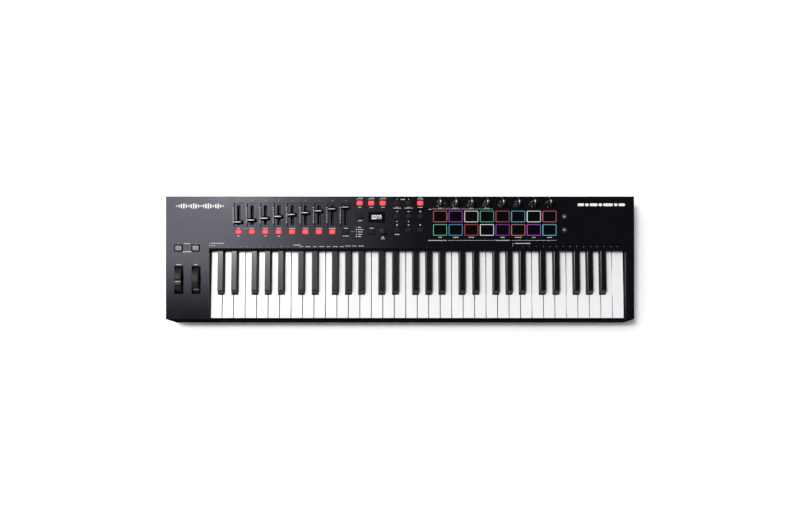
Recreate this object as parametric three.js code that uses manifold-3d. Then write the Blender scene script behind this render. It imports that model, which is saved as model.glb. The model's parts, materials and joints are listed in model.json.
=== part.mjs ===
// A 61-key keyboard with a control panel: faders, knobs, pads, wheels, buttons and a small display.
// Millimetres, +Z up, player at -Y. The origin is the middle of the footprint, on the surface it stands on.
import * as THREE from "three";
import Module from "manifold-3d";
import { ConvexGeometry } from "three/addons/geometries/ConvexGeometry.js";
import { mergeVertices } from "three/addons/utils/BufferGeometryUtils.js";

const wasm = await Module();
wasm.setup();

// ---- Driving dimensions -------------------------------------------------------------------------
const WIDTH = 954;
const DEPTH = 257;
const WALL = 2.6;
const REAR_HEIGHT = 64; // top of the panel at its rear edge
const PANEL_ANGLE = THREE.MathUtils.degToRad(3); // the panel falls towards the player
const SPLIT_HEIGHT = 34; // where the top and bottom cases meet, and the front nose line
const FOOT_HEIGHT = 5;
const FLOOR_TOP = 7.5; // inside face of the bottom case's floor
const NOSE_DEPTH = 7.5; // how far the nose runs ahead of the panel's front edge
const CORNER_CUT = 17; // the front corners are cut off in plan
const EDGE_CHAMFER = 1.2;
const CLEARANCE = 0.3; // between pieces that touch

// Keys. Distances called fromRear are measured forwards from the case's rear face.
const KEY_PITCH = 23.5;
const OCTAVE = 7 * KEY_PITCH;
const OCTAVES = 5;
const KEYS_LEFT = -387.6;
const KEY_GAP = 1;
const WHITE_TOP = 44;
const WHITE_BODY = 12;
const WHITE_REAR = 98;
const WHITE_FRONT = 247.6;
const WHITE_LIP_BOTTOM = 26;
const WHITE_NOTCH_FRONT = 200.2;
const BLACK_TOP = 54.9;
const BLACK_FRONT = 197.5;
const BLACK_REAR = 103;
const BLACK_WIDTH = 13.4;
const BLACK_TOP_WIDTH = 10.4;
const BLACK_SLOPE = 6.5; // the sloped front of a black key
const BLACK_SIDE_GAP = 1;
// Each black key's place: the line between two white keys that it stands on, and its shift from it.
const BLACK_PLACES = [[1, -2.3], [2, 2.3], [4, -3.5], [5, 0], [6, 3.5]];
const STEM = 4.5; // half the width of the arm under a black key: the rod's ribs stand beside it
const WELL = { left: -389, right: 460, rear: 105.5, lip: 5.5 };

// The rod that every key turns on, and the tie bars that join the keys of one moulding behind it.
const PIVOT = { fromRear: 76, z: 30, radius: 2 };
const KNUCKLE = { rear: 70, front: 82, bottom: 25, top: 36 };
const TIE = { rear: 62, front: 67, height: 4 };
const TIE_BOTTOM = { cegb: 19, dfa: 28, black: 37 };

// Control panel: x, and distance from the panel's rear edge.
const ROWS = [13.7, 40.9, 68.3];
const LOW_ROW = 72.3; // the row of buttons under the faders
const BUTTON = { width: 13, depth: 10.3, proud: 1.2, travel: 1.2, gap: 0.4 };
const FADER = { count: 9, x: -328.7, pitch: 27.28, slot: [4.2, 38.2], middle: 38, travel: 30 };
const FADER_DISH = { width: 20, depth: 48.4, sink: 1.2 };
const FADER_CAP = { width: 16.5, depth: 8.4, ridge: 3, height: 11.5 };
const MODE = { count: 3, x: -82, pitch: 23.5 };
const GRID = { columns: 3, x: -6.1, pitch: 23.7 };
const DISPLAY = { x: -47.5, fromRear: 42.5, width: 34.5, depth: 21.4 };
const ENCODER = { x: -34.8, radius: 6.6, height: 13 };
const PAD = { columns: 8, x: 81.5, pitch: 31.83, width: 28.4, depth: 23.3, proud: 1.8 };
const KNOB = { radius: 6.5, height: 15, stem: 3, hole: 4.2 };
const SCENE = { x: 334.7, radius: 5.3 };
const OCTAVE_BUTTONS = { x: [-451, -416.1], fromRear: 105.3 };
const WHEEL = { x: [-450.3, -415.2], fromRear: 170.1, radius: 29, width: 14.3, depth: 18, axle: 3,
  plate: 12 };
const WHEEL_SLOT = [18.4, 56.8];
const MOD_REST = THREE.MathUtils.degToRad(38); // the modulation wheel rests turned to the player

// Rear sockets: x of each centre, all in the bottom case's rear wall.
const SOCKET = { power: -418, dc: -392, usb: -366, midi: -336, pedals: [-306, -282], z: 20.5 };
const SOCKET_FACE = 0.8; // the socket faces sit this far inside the rear face
const FEET = [[-420, 30], [420, 30], [-420, 215], [420, 215]];

const COLOURS = {
  case: [0x17181a, 0.45, 0], lower: [0x0d0d0e, 0.4, 0], white: [0xf4f5f6, 0.25, 0],
  black: [0x1b1c1e, 0.4, 0], silicone: [0x1c1d20, 0.7, 0], red: [0xe8323c, 0.6, 0],
  steel: [0x9a9ca0, 0.35, 0.9], board: [0x174a2c, 0.6, 0], rubber: [0x101011, 0.85, 0],
  knob: [0x141416, 0.35, 0], glass: [0x050607, 0.05, 0], chassis: [0x2c2d30, 0.6, 0],
};

// ---- Small helpers -------------------------------------------------------------------------------
const fromRear = (v) => DEPTH / 2 - v;
const panelZ = (v) => REAR_HEIGHT - v * Math.tan(PANEL_ANGLE);
const range = (n) => [...Array(n).keys()];

// The panel's own frame: x across, y back along the slope from its rear edge, z out of the surface.
const panelFrame = new THREE.Matrix4()
  .makeRotationX(PANEL_ANGLE)
  .setPosition(0, DEPTH / 2, REAR_HEIGHT);

const block = (x0, x1, y0, y1, z0, z1) =>
  new THREE.BoxGeometry(Math.abs(x1 - x0), Math.abs(y1 - y0), Math.abs(z1 - z0))
    .translate((x0 + x1) / 2, (y0 + y1) / 2, (z0 + z1) / 2);

// A block given by its front and rear distances from the rear face.
const slab = (x0, x1, v0, v1, z0, z1) => block(x0, x1, fromRear(v1), fromRear(v0), z0, z1);

// A block centred on a point of the panel frame.
const pill = (x, v, width, depth, z0, z1) =>
  block(x - width / 2, x + width / 2, -v - depth / 2, -v + depth / 2, z0, z1);

// A round bar along one axis, between two places on it.
function bar(axis, radius, a, b, at, sides = 12) {
  const g = new THREE.CylinderGeometry(radius, radius, b - a, sides).translate(0, (a + b) / 2, 0);
  if (axis === "x") g.rotateZ(-Math.PI / 2);
  if (axis === "z") g.rotateX(Math.PI / 2);
  return g.translate(...at);
}

// An outline of [y, z] points drawn out along x, and the same with y given as a distance fromRear.
const ALONG_X = new THREE.Matrix4().makeBasis(
  new THREE.Vector3(0, 1, 0), new THREE.Vector3(0, 0, 1), new THREE.Vector3(1, 0, 0));
const drawn = (points, x0, x1) =>
  new THREE.ExtrudeGeometry(new THREE.Shape(points.map(([y, z]) => new THREE.Vector2(y, z))),
    { depth: x1 - x0, bevelEnabled: false }).applyMatrix4(ALONG_X).translate(x0, 0, 0);
const profile = (points, x0, x1) => drawn(points.map(([v, z]) => [fromRear(v), z]), x0, x1);

// A turned piece: radius and height pairs, from the axis and back to it, about +Z.
const turned = (points, sides = 12) =>
  new THREE.LatheGeometry(points.map(([r, z]) => new THREE.Vector2(r, z)), sides)
    .rotateX(Math.PI / 2);

const convex = (points) => new ConvexGeometry(points.map((p) => new THREE.Vector3(...p)));

function solid(geometry) {
  if (geometry.isBufferGeometry !== true) return geometry; // already a manifold solid
  const bare = new THREE.BufferGeometry().setAttribute("position", geometry.getAttribute("position"));
  if (geometry.index) bare.setIndex(geometry.index);
  const merged = mergeVertices(bare, 1e-4);
  return new wasm.Manifold(new wasm.Mesh({
    numProp: 3,
    vertProperties: new Float32Array(merged.attributes.position.array),
    triVerts: new Uint32Array(merged.index.array),
  }));
}

const join = (...pieces) => pieces.map(solid).reduce((a, b) => a.add(b));
const cut = (base, tools) => tools.map(solid).reduce((a, b) => a.subtract(b), solid(base));
const onPanel = (geometry) => geometry.applyMatrix4(panelFrame);

function geometryOf(piece) {
  if (piece.isBufferGeometry) return piece;
  const mesh = piece.getMesh();
  const g = new THREE.BufferGeometry();
  g.setAttribute("position", new THREE.BufferAttribute(new Float32Array(mesh.vertProperties), 3));
  g.setIndex(new THREE.BufferAttribute(new Uint32Array(mesh.triVerts), 1));
  return g;
}

const keyboard = new THREE.Group();
const panel = new THREE.Group(); // everything that sits square to the sloped panel
panel.position.set(0, DEPTH / 2, REAR_HEIGHT);
panel.rotation.x = PANEL_ANGLE;
keyboard.add(panel);

function place(parent, name, look, piece) {
  const [color, roughness, metalness] = COLOURS[look];
  const material = new THREE.MeshStandardMaterial({ color, roughness, metalness });
  const mesh = new THREE.Mesh(geometryOf(piece), material);
  mesh.name = name;
  parent.add(mesh);
  return mesh;
}

// ---- Case ----------------------------------------------------------------------------------------
// The outline in plan at one height, inset from the full size by side, front and rear.
function outline(z, side, front, rear = 0) {
  const x = WIDTH / 2 - side;
  const nose = DEPTH - front;
  return [[-x, rear], [x, rear], [x, nose - NOSE_DEPTH], [x - CORNER_CUT, nose],
    [CORNER_CUT - x, nose], [-x, nose - NOSE_DEPTH]].map(([px, v]) => [px, fromRear(v), z]);
}

// The top case's outer or inner form: a sloped top over a nose that leans forwards.
function topForm(inset) {
  const x = WIDTH / 2 - inset;
  const front = DEPTH - NOSE_DEPTH - inset / 2;
  const skin = (px, v, lower = 0) => [px, fromRear(v), panelZ(v) - inset - lower];
  const edge = inset ? 0.01 : EDGE_CHAMFER;
  return convex([
    ...outline(inset ? SPLIT_HEIGHT - 1 : SPLIT_HEIGHT, inset, inset, inset),
    skin(-x, inset, edge), skin(x, inset, edge), skin(-x + edge, inset + edge), skin(x - edge, inset + edge),
    skin(-x, front, edge), skin(x, front, edge), skin(-x + edge, front), skin(x - edge, front),
  ]);
}

const SCREW_POSTS = [[-466, 9], [-236, 7.5], [-99, 7], [362, 9], [466, 9], [-466, 236], [467.5, 236]];
const POST_RADIUS = 3.4;

function panelOpenings() {
  const through = [-WALL - 3, 3];
  const hole = (x, v, width, depth) => pill(x, v, width, depth, ...through);
  const fit = 2 * BUTTON.gap;
  const button = (x, v) => hole(x, v, BUTTON.width + fit, BUTTON.depth + fit);
  const round = (x, v, radius) => bar("z", radius, ...through, [x, -v, 0], 12);
  const tools = [
    ...faderPlaces.flatMap((x) => [
      hole(x, FADER.middle, ...FADER.slot),
      pill(x, FADER.middle, FADER_DISH.width, FADER_DISH.depth, -FADER_DISH.sink, 3),
      button(x, LOW_ROW),
    ]),
    ...modePlaces.map((x) => button(x, ROWS[0])),
    ...editPlaces.map(([x, v]) => button(x, v)),
    ...gridPlaces.map(([x, v]) => button(x, v)),
    ...padPlaces.map(([x, v]) => hole(x, v, PAD.width + fit, PAD.depth + fit)),
    ...knobPlaces.map((x) => round(x, ROWS[0], KNOB.hole)),
    ...scenePlaces.map(([x, v]) => round(x, v, SCENE.radius + BUTTON.gap)),
    ...OCTAVE_BUTTONS.x.map((x) => button(x, OCTAVE_BUTTONS.fromRear)),
    ...WHEEL.x.map((x) => hole(x, WHEEL.fromRear, ...WHEEL_SLOT)),
    round(ENCODER.x, LOW_ROW, KNOB.hole),
    hole(DISPLAY.x, DISPLAY.fromRear, DISPLAY.width - 4, DISPLAY.depth - 4),
    pill(DISPLAY.x, DISPLAY.fromRear, DISPLAY.width + 0.6, DISPLAY.depth + 0.6, -1.6, 3),
  ];
  return tools.map(onPanel);
}

// The well that the keys stand in, open to the front, with a lip that thins out over their rear ends.
function keyWell() {
  const lipFront = WELL.rear + WELL.lip;
  const thin = 0.8;
  const lip = [[WELL.rear, 0], [WELL.rear + 30, 12], [lipFront + 30, 12], [lipFront, thin - WALL]];
  const ramp = drawn(lip.map(([v, h]) => [-v, h]), WELL.left, WELL.right);
  return [slab(WELL.left, WELL.right, lipFront, DEPTH + 5, 20, 80), onPanel(ramp)];
}

function topCase() {
  const posts = SCREW_POSTS.map(([x, v]) =>
    bar("z", POST_RADIUS, SPLIT_HEIGHT, panelZ(v) - WALL / 2, [x, fromRear(v), 0], 8));
  // The cheeks' inner walls, which face the keys.
  const cheek = (x0, x1) => convex([
    ...[x0, x1].flatMap((x) => [
      [x, fromRear(WELL.rear - 2), SPLIT_HEIGHT], [x, fromRear(WELL.rear - 2), panelZ(WELL.rear) - 1],
      [x, fromRear(DEPTH - NOSE_DEPTH), panelZ(DEPTH - NOSE_DEPTH) - 0.3],
      [x, fromRear(DEPTH - 0.4), SPLIT_HEIGHT + 0.6], [x, fromRear(DEPTH - 0.4), SPLIT_HEIGHT]]),
  ]);
  const shell = cut(topForm(0), [topForm(WALL)]);
  const body = join(cut(shell, keyWell()),
    cheek(WELL.left - WALL, WELL.left), cheek(WELL.right, WELL.right + WALL), ...posts);
  return cut(body, panelOpenings());
}

function socketOpenings() {
  const reach = [-2, WALL + 3];
  const window = (x, width, height) =>
    slab(x - width / 2, x + width / 2, ...reach, SOCKET.z - height / 2, SOCKET.z + height / 2);
  const ring = (x, radius) =>
    bar("y", radius, -reach[1], -reach[0], [x, DEPTH / 2, SOCKET.z], 16);
  return [window(SOCKET.power, 15, 11), window(SOCKET.usb, 13, 12), ring(SOCKET.dc, 4.6),
    ring(SOCKET.midi, 9.4), ...SOCKET.pedals.map((x) => ring(x, 6.1))];
}

function bottomCase() {
  const taper = 3; // the sides and the front lean in towards the floor
  const rim = SPLIT_HEIGHT - CLEARANCE;
  const outer = convex([...outline(rim, 0, 0), ...outline(FOOT_HEIGHT, taper, taper + 1)]);
  const inner = convex([...outline(SPLIT_HEIGHT + 1, WALL, WALL, WALL),
    ...outline(FLOOR_TOP, taper + WALL, taper + 1 + WALL, WALL)]);
  const posts = SCREW_POSTS.map(([x, v]) =>
    bar("z", POST_RADIUS, FLOOR_TOP - 1, rim, [x, fromRear(v), 0], 8));
  const ledges = [-300, -100, 100, 300].flatMap((x) => [64, 150, 230].map((v) =>
    slab(x - 4, x + 4, v - 4, v + 4, FLOOR_TOP - 1, CHASSIS.bottom - CLEARANCE)));
  // The rail in front of the keys closes the wall's top edge to a flat ledge.
  const ledge = slab(WELL.left, WELL.right, 251.5, DEPTH - 0.6, rim - 3, rim);
  return cut(join(cut(outer, [inner]), ledge, ...posts, ...ledges), socketOpenings());
}

// ---- Keys ----------------------------------------------------------------------------------------
const blackCentres = BLACK_PLACES.map(([line, shift]) => line * KEY_PITCH + shift);

// A white key's left and right edges, in front of and between the black keys.
function whiteEdges(index, cutForBlacks = true) {
  const front = [index * KEY_PITCH, (index + 1) * KEY_PITCH];
  const reach = BLACK_WIDTH / 2 + BLACK_SIDE_GAP;
  const rear = [front[0] + KEY_GAP / 2, front[1] - KEY_GAP / 2];
  for (const c of cutForBlacks ? blackCentres : []) {
    if (c - reach < front[1] && c > front[0] + KEY_PITCH / 2) rear[1] = Math.min(rear[1], c - reach);
    if (c + reach > front[0] && c < front[0] + KEY_PITCH / 2) rear[0] = Math.max(rear[0], c + reach);
  }
  return { front: [front[0] + KEY_GAP / 2, front[1] - KEY_GAP / 2], rear };
}

// The rear end of a key, from its tie bar to its underside in front of the rod, as a side profile.
// The saddle is open below, so that the key drops over the rod.
function rearProfile(tieBottom, underside) {
  const slot = PIVOT.radius + 0.6;
  const tailTop = Math.max(tieBottom + TIE.height, KNUCKLE.bottom + 1.8);
  const tailBottom = Math.min(tieBottom + 1, KNUCKLE.top - 2);
  const tailRear = TIE.front - 1;
  return {
    top: [[KNUCKLE.rear, tailTop], [tailRear, tailTop], [tailRear, tailBottom], [KNUCKLE.rear, tailBottom]],
    bottom: [
      [KNUCKLE.rear, KNUCKLE.bottom], [PIVOT.fromRear - slot, KNUCKLE.bottom],
      [PIVOT.fromRear - slot, PIVOT.z + slot], [PIVOT.fromRear + slot, PIVOT.z + slot],
      [PIVOT.fromRear + slot, KNUCKLE.bottom], [KNUCKLE.front, KNUCKLE.bottom], [KNUCKLE.front, underside],
    ],
  };
}

const tieBar = (x0, x1, tieBottom) =>
  slab(x0, x1, TIE.rear, TIE.front, tieBottom, tieBottom + TIE.height);

function whiteKey(edges, tieBottom) {
  const [a, b] = edges.front;
  const [c, d] = edges.rear;
  const bottom = WHITE_TOP - WHITE_BODY;
  const skin = 2.2;
  const step = WHITE_NOTCH_FRONT;
  const ends = rearProfile(tieBottom, bottom);
  const wide = profile([[step, WHITE_TOP], [step, bottom], [WHITE_FRONT - skin, bottom],
    [WHITE_FRONT - skin, WHITE_LIP_BOTTOM], [WHITE_FRONT, WHITE_LIP_BOTTOM], [WHITE_FRONT, WHITE_TOP]], a, b);
  const narrow = profile([[step, WHITE_TOP], [WHITE_REAR, WHITE_TOP], [WHITE_REAR, KNUCKLE.top],
    [KNUCKLE.rear, KNUCKLE.top], ...ends.top, ...ends.bottom, [step, bottom]], c, d);
  const pockets = [
    slab(a + skin, b - skin, step + skin, WHITE_FRONT - skin, bottom - 1, WHITE_TOP - skin),
    slab(c + skin, d - skin, WHITE_REAR + skin, step - 1, bottom - 1, WHITE_TOP - skin),
  ];
  return cut(join(wide, narrow), pockets);
}

function blackKey(c, tieBottom) {
  const half = BLACK_WIDTH / 2;
  const top = BLACK_TOP_WIDTH / 2;
  const armTop = tieBottom + TIE.height;
  const armBottom = 30.5;
  const armFront = BLACK_FRONT - 3;
  const cap = convex([
    ...[-half, half].flatMap((x) => [BLACK_REAR, BLACK_FRONT].flatMap((v) =>
      [armTop - 1, WHITE_TOP + 1].map((z) => [c + x, fromRear(v), z]))),
    ...[-top, top].flatMap((x) => [[c + x, fromRear(BLACK_REAR), BLACK_TOP],
      [c + x, fromRear(BLACK_FRONT - BLACK_SLOPE), BLACK_TOP - 0.6]]),
  ]);
  const ends = rearProfile(tieBottom, armBottom);
  const arm = profile([...ends.top.slice(1), ...ends.bottom, [armFront, armBottom], [armFront, armTop]],
    c - STEM, c + STEM);
  return join(cap, arm);
}

function keyMouldings() {
  const combs = { cegb: [0, 2, 4, 6], dfa: [1, 3, 5] };
  for (const octave of range(OCTAVES)) {
    const x = KEYS_LEFT + octave * OCTAVE;
    for (const [name, indices] of Object.entries(combs)) {
      const edges = indices.map((i) => whiteEdges(i));
      const keys = edges.map((e) => whiteKey(e, TIE_BOTTOM[name]));
      const tie = tieBar(edges[0].rear[0], edges.at(-1).rear[1], TIE_BOTTOM[name]);
      place(keyboard, `octave_${octave + 1}_white_keys_${name}`, "white", join(...keys, tie)).position.x = x;
    }
    const blacks = blackCentres.map((c) => blackKey(c, TIE_BOTTOM.black));
    const tie = tieBar(blackCentres[0] - STEM, blackCentres.at(-1) + STEM, TIE_BOTTOM.black);
    place(keyboard, `octave_${octave + 1}_black_keys`, "black", join(...blacks, tie)).position.x = x;
  }
  const topKey = whiteEdges(0, false);
  const key = join(whiteKey(topKey, TIE_BOTTOM.cegb), tieBar(...topKey.rear, TIE_BOTTOM.cegb));
  place(keyboard, "top_c_white_key", "white", key).position.x = KEYS_LEFT + OCTAVES * OCTAVE;
}

// ---- Keybed --------------------------------------------------------------------------------------
const CHASSIS = { left: WELL.left + 0.4, right: WELL.right - 0.4, rear: 52, front: 236.5, bottom: 9.6, top: 12.4 };

function keybedChassis() {
  const { left, right, rear, front, bottom, top } = CHASSIS;
  const saddleRib = (x, thick) => cut(
    slab(x - thick / 2, x + thick / 2, PIVOT.fromRear - 5.5, PIVOT.fromRear + 5.5, top - 1, PIVOT.z + 1.5),
    [slab(x - thick, x + thick, PIVOT.fromRear - 2.3, PIVOT.fromRear + 2.3, PIVOT.z - 2.2, PIVOT.z + 5)],
  );
  const ribs = range(OCTAVES).flatMap((octave) => [0, 3].map((i) =>
    saddleRib(KEYS_LEFT + octave * OCTAVE + blackCentres[i] + 6.1, 1.5)));
  const stopRail = slab(left, right, front - 14, front, top - 1, 21.5);
  const shelves = [118, 158].map((v) => slab(left, right, v, v + 4, top - 1, 16));
  const lightening = range(11).map((i) => {
    const x = left + 45 + i * 76;
    return slab(x - 28, x + 28, 170, 218, 5, 20);
  });
  const plate = cut(slab(left, right, rear, front, bottom, top), lightening);
  return join(plate, stopRail, ...shelves, ...ribs, saddleRib(right - 0.6, 1.2));
}

function keyContactBoard() {
  const { left, right } = CHASSIS;
  const board = slab(left + 4, right - 4, 116, 164, 16, 17.6);
  const rubber = convex([left + 8, right - 8].flatMap((x) =>
    [[132, 17.4], [152, 17.4], [136, 25.5], [148, 25.5]].map(([v, z]) => [x, fromRear(v), z])));
  return join(board, rubber);
}

// ---- Controls ------------------------------------------------------------------------------------
const faderPlaces = range(FADER.count).map((i) => FADER.x + i * FADER.pitch);
const modePlaces = range(MODE.count).map((i) => MODE.x + i * MODE.pitch);
const editPlaces = [[MODE.x, ROWS[1]], [MODE.x + MODE.pitch, LOW_ROW]];
const gridPlaces = ROWS.flatMap((v) => range(GRID.columns).map((i) => [GRID.x + i * GRID.pitch, v]));
const knobPlaces = range(PAD.columns).map((i) => PAD.x + i * PAD.pitch);
const padPlaces = [ROWS[1], ROWS[2]].flatMap((v) => knobPlaces.map((x) => [x, v]));
const scenePlaces = [ROWS[1], ROWS[2]].map((v) => [SCENE.x, v]);

const WEB = [-4.2, -3.2]; // the silicone web that joins the buttons of one mat under the panel

// A silicone mat: one web with a button standing on it at each place.
function mat(places, width, depth, proud, webs) {
  const keys = places.map(([x, v]) => pill(x, v, width, depth, WEB[0], proud));
  return join(...webs.map(([x0, x1, v0, v1]) => block(x0, x1, -v1, -v0, ...WEB)), ...keys);
}

const webAround = (places, grow) => {
  const [xs, vs] = [places.map((p) => p[0]), places.map((p) => p[1])];
  return [Math.min(...xs) - grow, Math.max(...xs) + grow, Math.min(...vs) - grow, Math.max(...vs) + grow];
};

function buttonMats() {
  const size = [BUTTON.width, BUTTON.depth, BUTTON.proud];
  const simple = (places, grow = 8) => mat(places, ...size, [webAround(places, grow)]);
  const faderButtons = faderPlaces.map((x) => [x, LOW_ROW]);
  const modeButtons = modePlaces.map((x) => [x, ROWS[0]]);
  const octaveButtons = OCTAVE_BUTTONS.x.map((x) => [x, OCTAVE_BUTTONS.fromRear]);
  place(panel, "fader_button_mat", "red", simple(faderButtons));
  place(panel, "mode_button_mat", "red", simple(modeButtons, 7));
  place(panel, "transport_button_mat", "silicone", simple(gridPlaces, 7));
  place(panel, "octave_button_mat", "silicone", simple(octaveButtons));
  const [shift, back] = editPlaces;
  const elbow = [[shift[0] - 7, shift[0] + 7, shift[1] - 6, back[1] + 6],
    [shift[0] - 7, back[0] + 7, back[1] - 6, back[1] + 6]];
  place(panel, "edit_button_mat", "silicone", mat(editPlaces, ...size, elbow));
  place(panel, "pad_mat", "silicone",
    mat(padPlaces, PAD.width, PAD.depth, PAD.proud, [webAround(padPlaces, 17)]));
  const rounds = scenePlaces.map(([x, v]) => bar("z", SCENE.radius, WEB[0], BUTTON.proud, [x, -v, 0], 12));
  const web = block(SCENE.x - 7.5, SCENE.x + 7.5, -ROWS[2] - 8, -ROWS[1] + 8, ...WEB);
  place(panel, "scene_button_mat", "silicone", join(web, ...rounds));
}

// A fader cap: wide foot, narrow ridge, and the steel lever that drops through the slot.
function faderCap() {
  const { width, depth, ridge, height } = FADER_CAP;
  const foot = 0.6;
  const cap = convex([-1, 1].flatMap((sx) => [-1, 1].flatMap((sy) => [
    [sx * width / 2, sy * depth / 2, foot], [sx * width / 2, sy * depth / 2, foot + 4.5],
    [sx * (width / 2 - 0.8), sy * ridge / 2, height]])));
  return join(cap, block(-1.7, 1.7, -0.6, 0.6, -7, foot + 1));
}

function faders() {
  faderPlaces.forEach((x, i) => {
    const raised = FADER.travel * (i / (FADER.count - 1) - 0.5);
    const name = i === FADER.count - 1 ? "master_fader" : `fader_${i + 1}`;
    place(panel, name, "knob", faderCap()).position.set(x, -FADER.middle + raised, 0);
  });
}

function knobForm(radius, height) {
  return turned([[0, -8], [KNOB.stem, -8], [KNOB.stem, 0.8], [radius, 0.8], [radius - 0.5, height - 1],
    [radius - 1.4, height], [0, height]]);
}

function knobs() {
  knobPlaces.forEach((x, i) => {
    place(panel, `knob_${i + 1}`, "knob", knobForm(KNOB.radius, KNOB.height)).position.set(x, -ROWS[0], 0);
  });
  const encoder = place(panel, "encoder_knob", "knob", knobForm(ENCODER.radius, ENCODER.height));
  encoder.position.set(ENCODER.x, -LOW_ROW, 0);
}

// A pot or encoder body: a box with a round seat for the shaft.
const potBody = (x, v) => cut(pill(x, v, 11, 11, -10.5, -4.6),
  [bar("z", KNOB.stem + 0.5, -9, 0, [x, -v, 0], 12)]);

const BOARD = [-12, -10.3]; // the circuit boards hang under the panel

function faderBoard() {
  const pots = faderPlaces.map((x) => cut(
    pill(x, FADER.middle, 9, 46, -10.5, -3.1),
    [pill(x, FADER.middle, 5, 36, -8.2, 0)],
  ));
  const board = block(faderPlaces[0] - 14, faderPlaces.at(-1) + 14, -83, -12, ...BOARD);
  return join(board, ...pots);
}

function mainBoard() {
  const board = block(-93, 348, -85, -4, ...BOARD);
  const display = pill(DISPLAY.x, DISPLAY.fromRear, 29, 16, BOARD[1] - 1, -2.2);
  return join(board, display, ...knobPlaces.map((x) => potBody(x, ROWS[0])), potBody(ENCODER.x, LOW_ROW));
}

// A thumb wheel: a disc with a finger hollow in its rim and an axle that reaches left and right.
function wheel(left, right) {
  const { radius, width, axle } = WHEEL;
  const steps = 36;
  const hollow = THREE.MathUtils.degToRad(13);
  const rim = range(steps).map((i) => (i / steps) * 2 * Math.PI).filter((a) => Math.abs(a) > hollow
    && Math.abs(a - 2 * Math.PI) > hollow);
  const points = rim.map((a) => [radius * Math.sin(a), radius * Math.cos(a)]);
  const dip = [[-0.5, 2.6], [0, 3], [0.5, 2.6]].map(([share, depth]) =>
    [radius * Math.sin(share * hollow), (radius - depth) * Math.cos(share * hollow)]);
  const disc = drawn([...points, ...dip], -width / 2, width / 2);
  return join(disc, bar("x", axle, -left, right, [0, 0, 0], 12));
}

function wheels() {
  const middle = (WHEEL.x[1] - WHEEL.x[0]) / 2 - CLEARANCE; // both axles end inside the middle plate
  ["pitch_wheel", "modulation_wheel"].forEach((name, i) => {
    const reach = i === 0 ? [WHEEL.plate, middle] : [middle, WHEEL.plate];
    const made = place(panel, name, "rubber", wheel(...reach));
    made.position.set(WHEEL.x[i], -WHEEL.fromRear, -WHEEL.depth);
    made.rotation.x = i === 0 ? 0 : MOD_REST;
  });
}

// The frame that holds both wheels: three plates with axle holes, tied at both ends.
function wheelBracket() {
  const [pitchX, modX] = WHEEL.x;
  const plates = [pitchX - WHEEL.plate, (pitchX + modX) / 2, modX + WHEEL.plate];
  const [rear, front] = [WHEEL.fromRear - 37, WHEEL.fromRear + 37];
  const uprights = plates.map((x) => slab(x - 1.5, x + 1.5, rear, front, FLOOR_TOP, 44));
  const ends = [rear, front - 3].map((v) => slab(plates[0], plates[2], v, v + 3, FLOOR_TOP, 30));
  const centre = new THREE.Vector3(0, -WHEEL.fromRear, -WHEEL.depth).applyMatrix4(panelFrame);
  const bore = bar("x", WHEEL.axle + 0.5, plates[0] - 3, plates[2] + 3, [0, centre.y, centre.z], 12);
  return cut(join(...uprights, ...ends), [bore]);
}

// ---- Display, sockets and small parts --------------------------------------------------------------
const displayWindow = () =>
  pill(DISPLAY.x, DISPLAY.fromRear, DISPLAY.width, DISPLAY.depth, -1.5, -0.1);

// A socket's body, behind the rear wall, on its board.
function socket(x, width, depth, bottom, top) {
  return slab(x - width / 2, x + width / 2, WALL + 0.4, depth, bottom, top);
}

const BOARD_IO = [10, 11.6]; // height of the boards that carry the sockets

// The round front of a socket, which reaches into its opening in the rear wall, and the hole in it.
const nose = (x, radius) =>
  bar("y", radius, -WALL - 3, -SOCKET_FACE, [x, DEPTH / 2, SOCKET.z], 16);
const bore = (x, radius, deep) => bar("y", radius, -deep, 3, [x, DEPTH / 2, SOCKET.z], 16);
const ioPlate = (x0, x1, depth) => slab(x0, x1, 4, depth, ...BOARD_IO);

// The power rocker's frame and the round power inlet, on one board.
function powerBoard() {
  const frame = cut(
    slab(SOCKET.power - 7.2, SOCKET.power + 7.2, SOCKET_FACE, 16, SOCKET.z - 5.2, SOCKET.z + 5.2),
    [slab(SOCKET.power - 6.2, SOCKET.power + 6.2, -2, 9, SOCKET.z - 4.2, SOCKET.z + 4.2)],
  );
  const pillar = slab(SOCKET.power - 4, SOCKET.power + 4, 10, 16, BOARD_IO[0], SOCKET.z);
  const inlet = cut(join(socket(SOCKET.dc, 9.5, 18, BOARD_IO[0], SOCKET.z + 5), nose(SOCKET.dc, 4.3)),
    [bore(SOCKET.dc, 3.1, 12)]);
  return join(ioPlate(SOCKET.power - 12, SOCKET.dc + 8, 40), frame, pillar, inlet);
}

// The USB socket and the round MIDI socket, on one board.
function dataBoard() {
  const usb = cut(slab(SOCKET.usb - 6, SOCKET.usb + 6, SOCKET_FACE, 18, BOARD_IO[0], SOCKET.z + 5.5),
    [slab(SOCKET.usb - 4.3, SOCKET.usb + 4.3, -2, 10, SOCKET.z - 3.9, SOCKET.z + 3.9),
      slab(SOCKET.usb - 7, SOCKET.usb + 7, -2, WALL + 0.6, 0, SOCKET.z - 5.5)]);
  const midi = cut(join(socket(SOCKET.midi, 21, 18, BOARD_IO[0], SOCKET.z + 10), nose(SOCKET.midi, 9)),
    [bore(SOCKET.midi, 7.6, 12)]);
  return join(ioPlate(SOCKET.usb - 9, SOCKET.midi + 14, 46), usb, midi);
}

function pedalJacks() {
  const board = ioPlate(Math.min(...SOCKET.pedals) - 10, Math.max(...SOCKET.pedals) + 10, 34);
  const jacks = SOCKET.pedals.map((x) => cut(
    join(socket(x, 16, 30, BOARD_IO[0], SOCKET.z + 7.5), nose(x, 5.7)),
    [bore(x, 3.4, 27)],
  ));
  return join(board, ...jacks);
}

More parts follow.
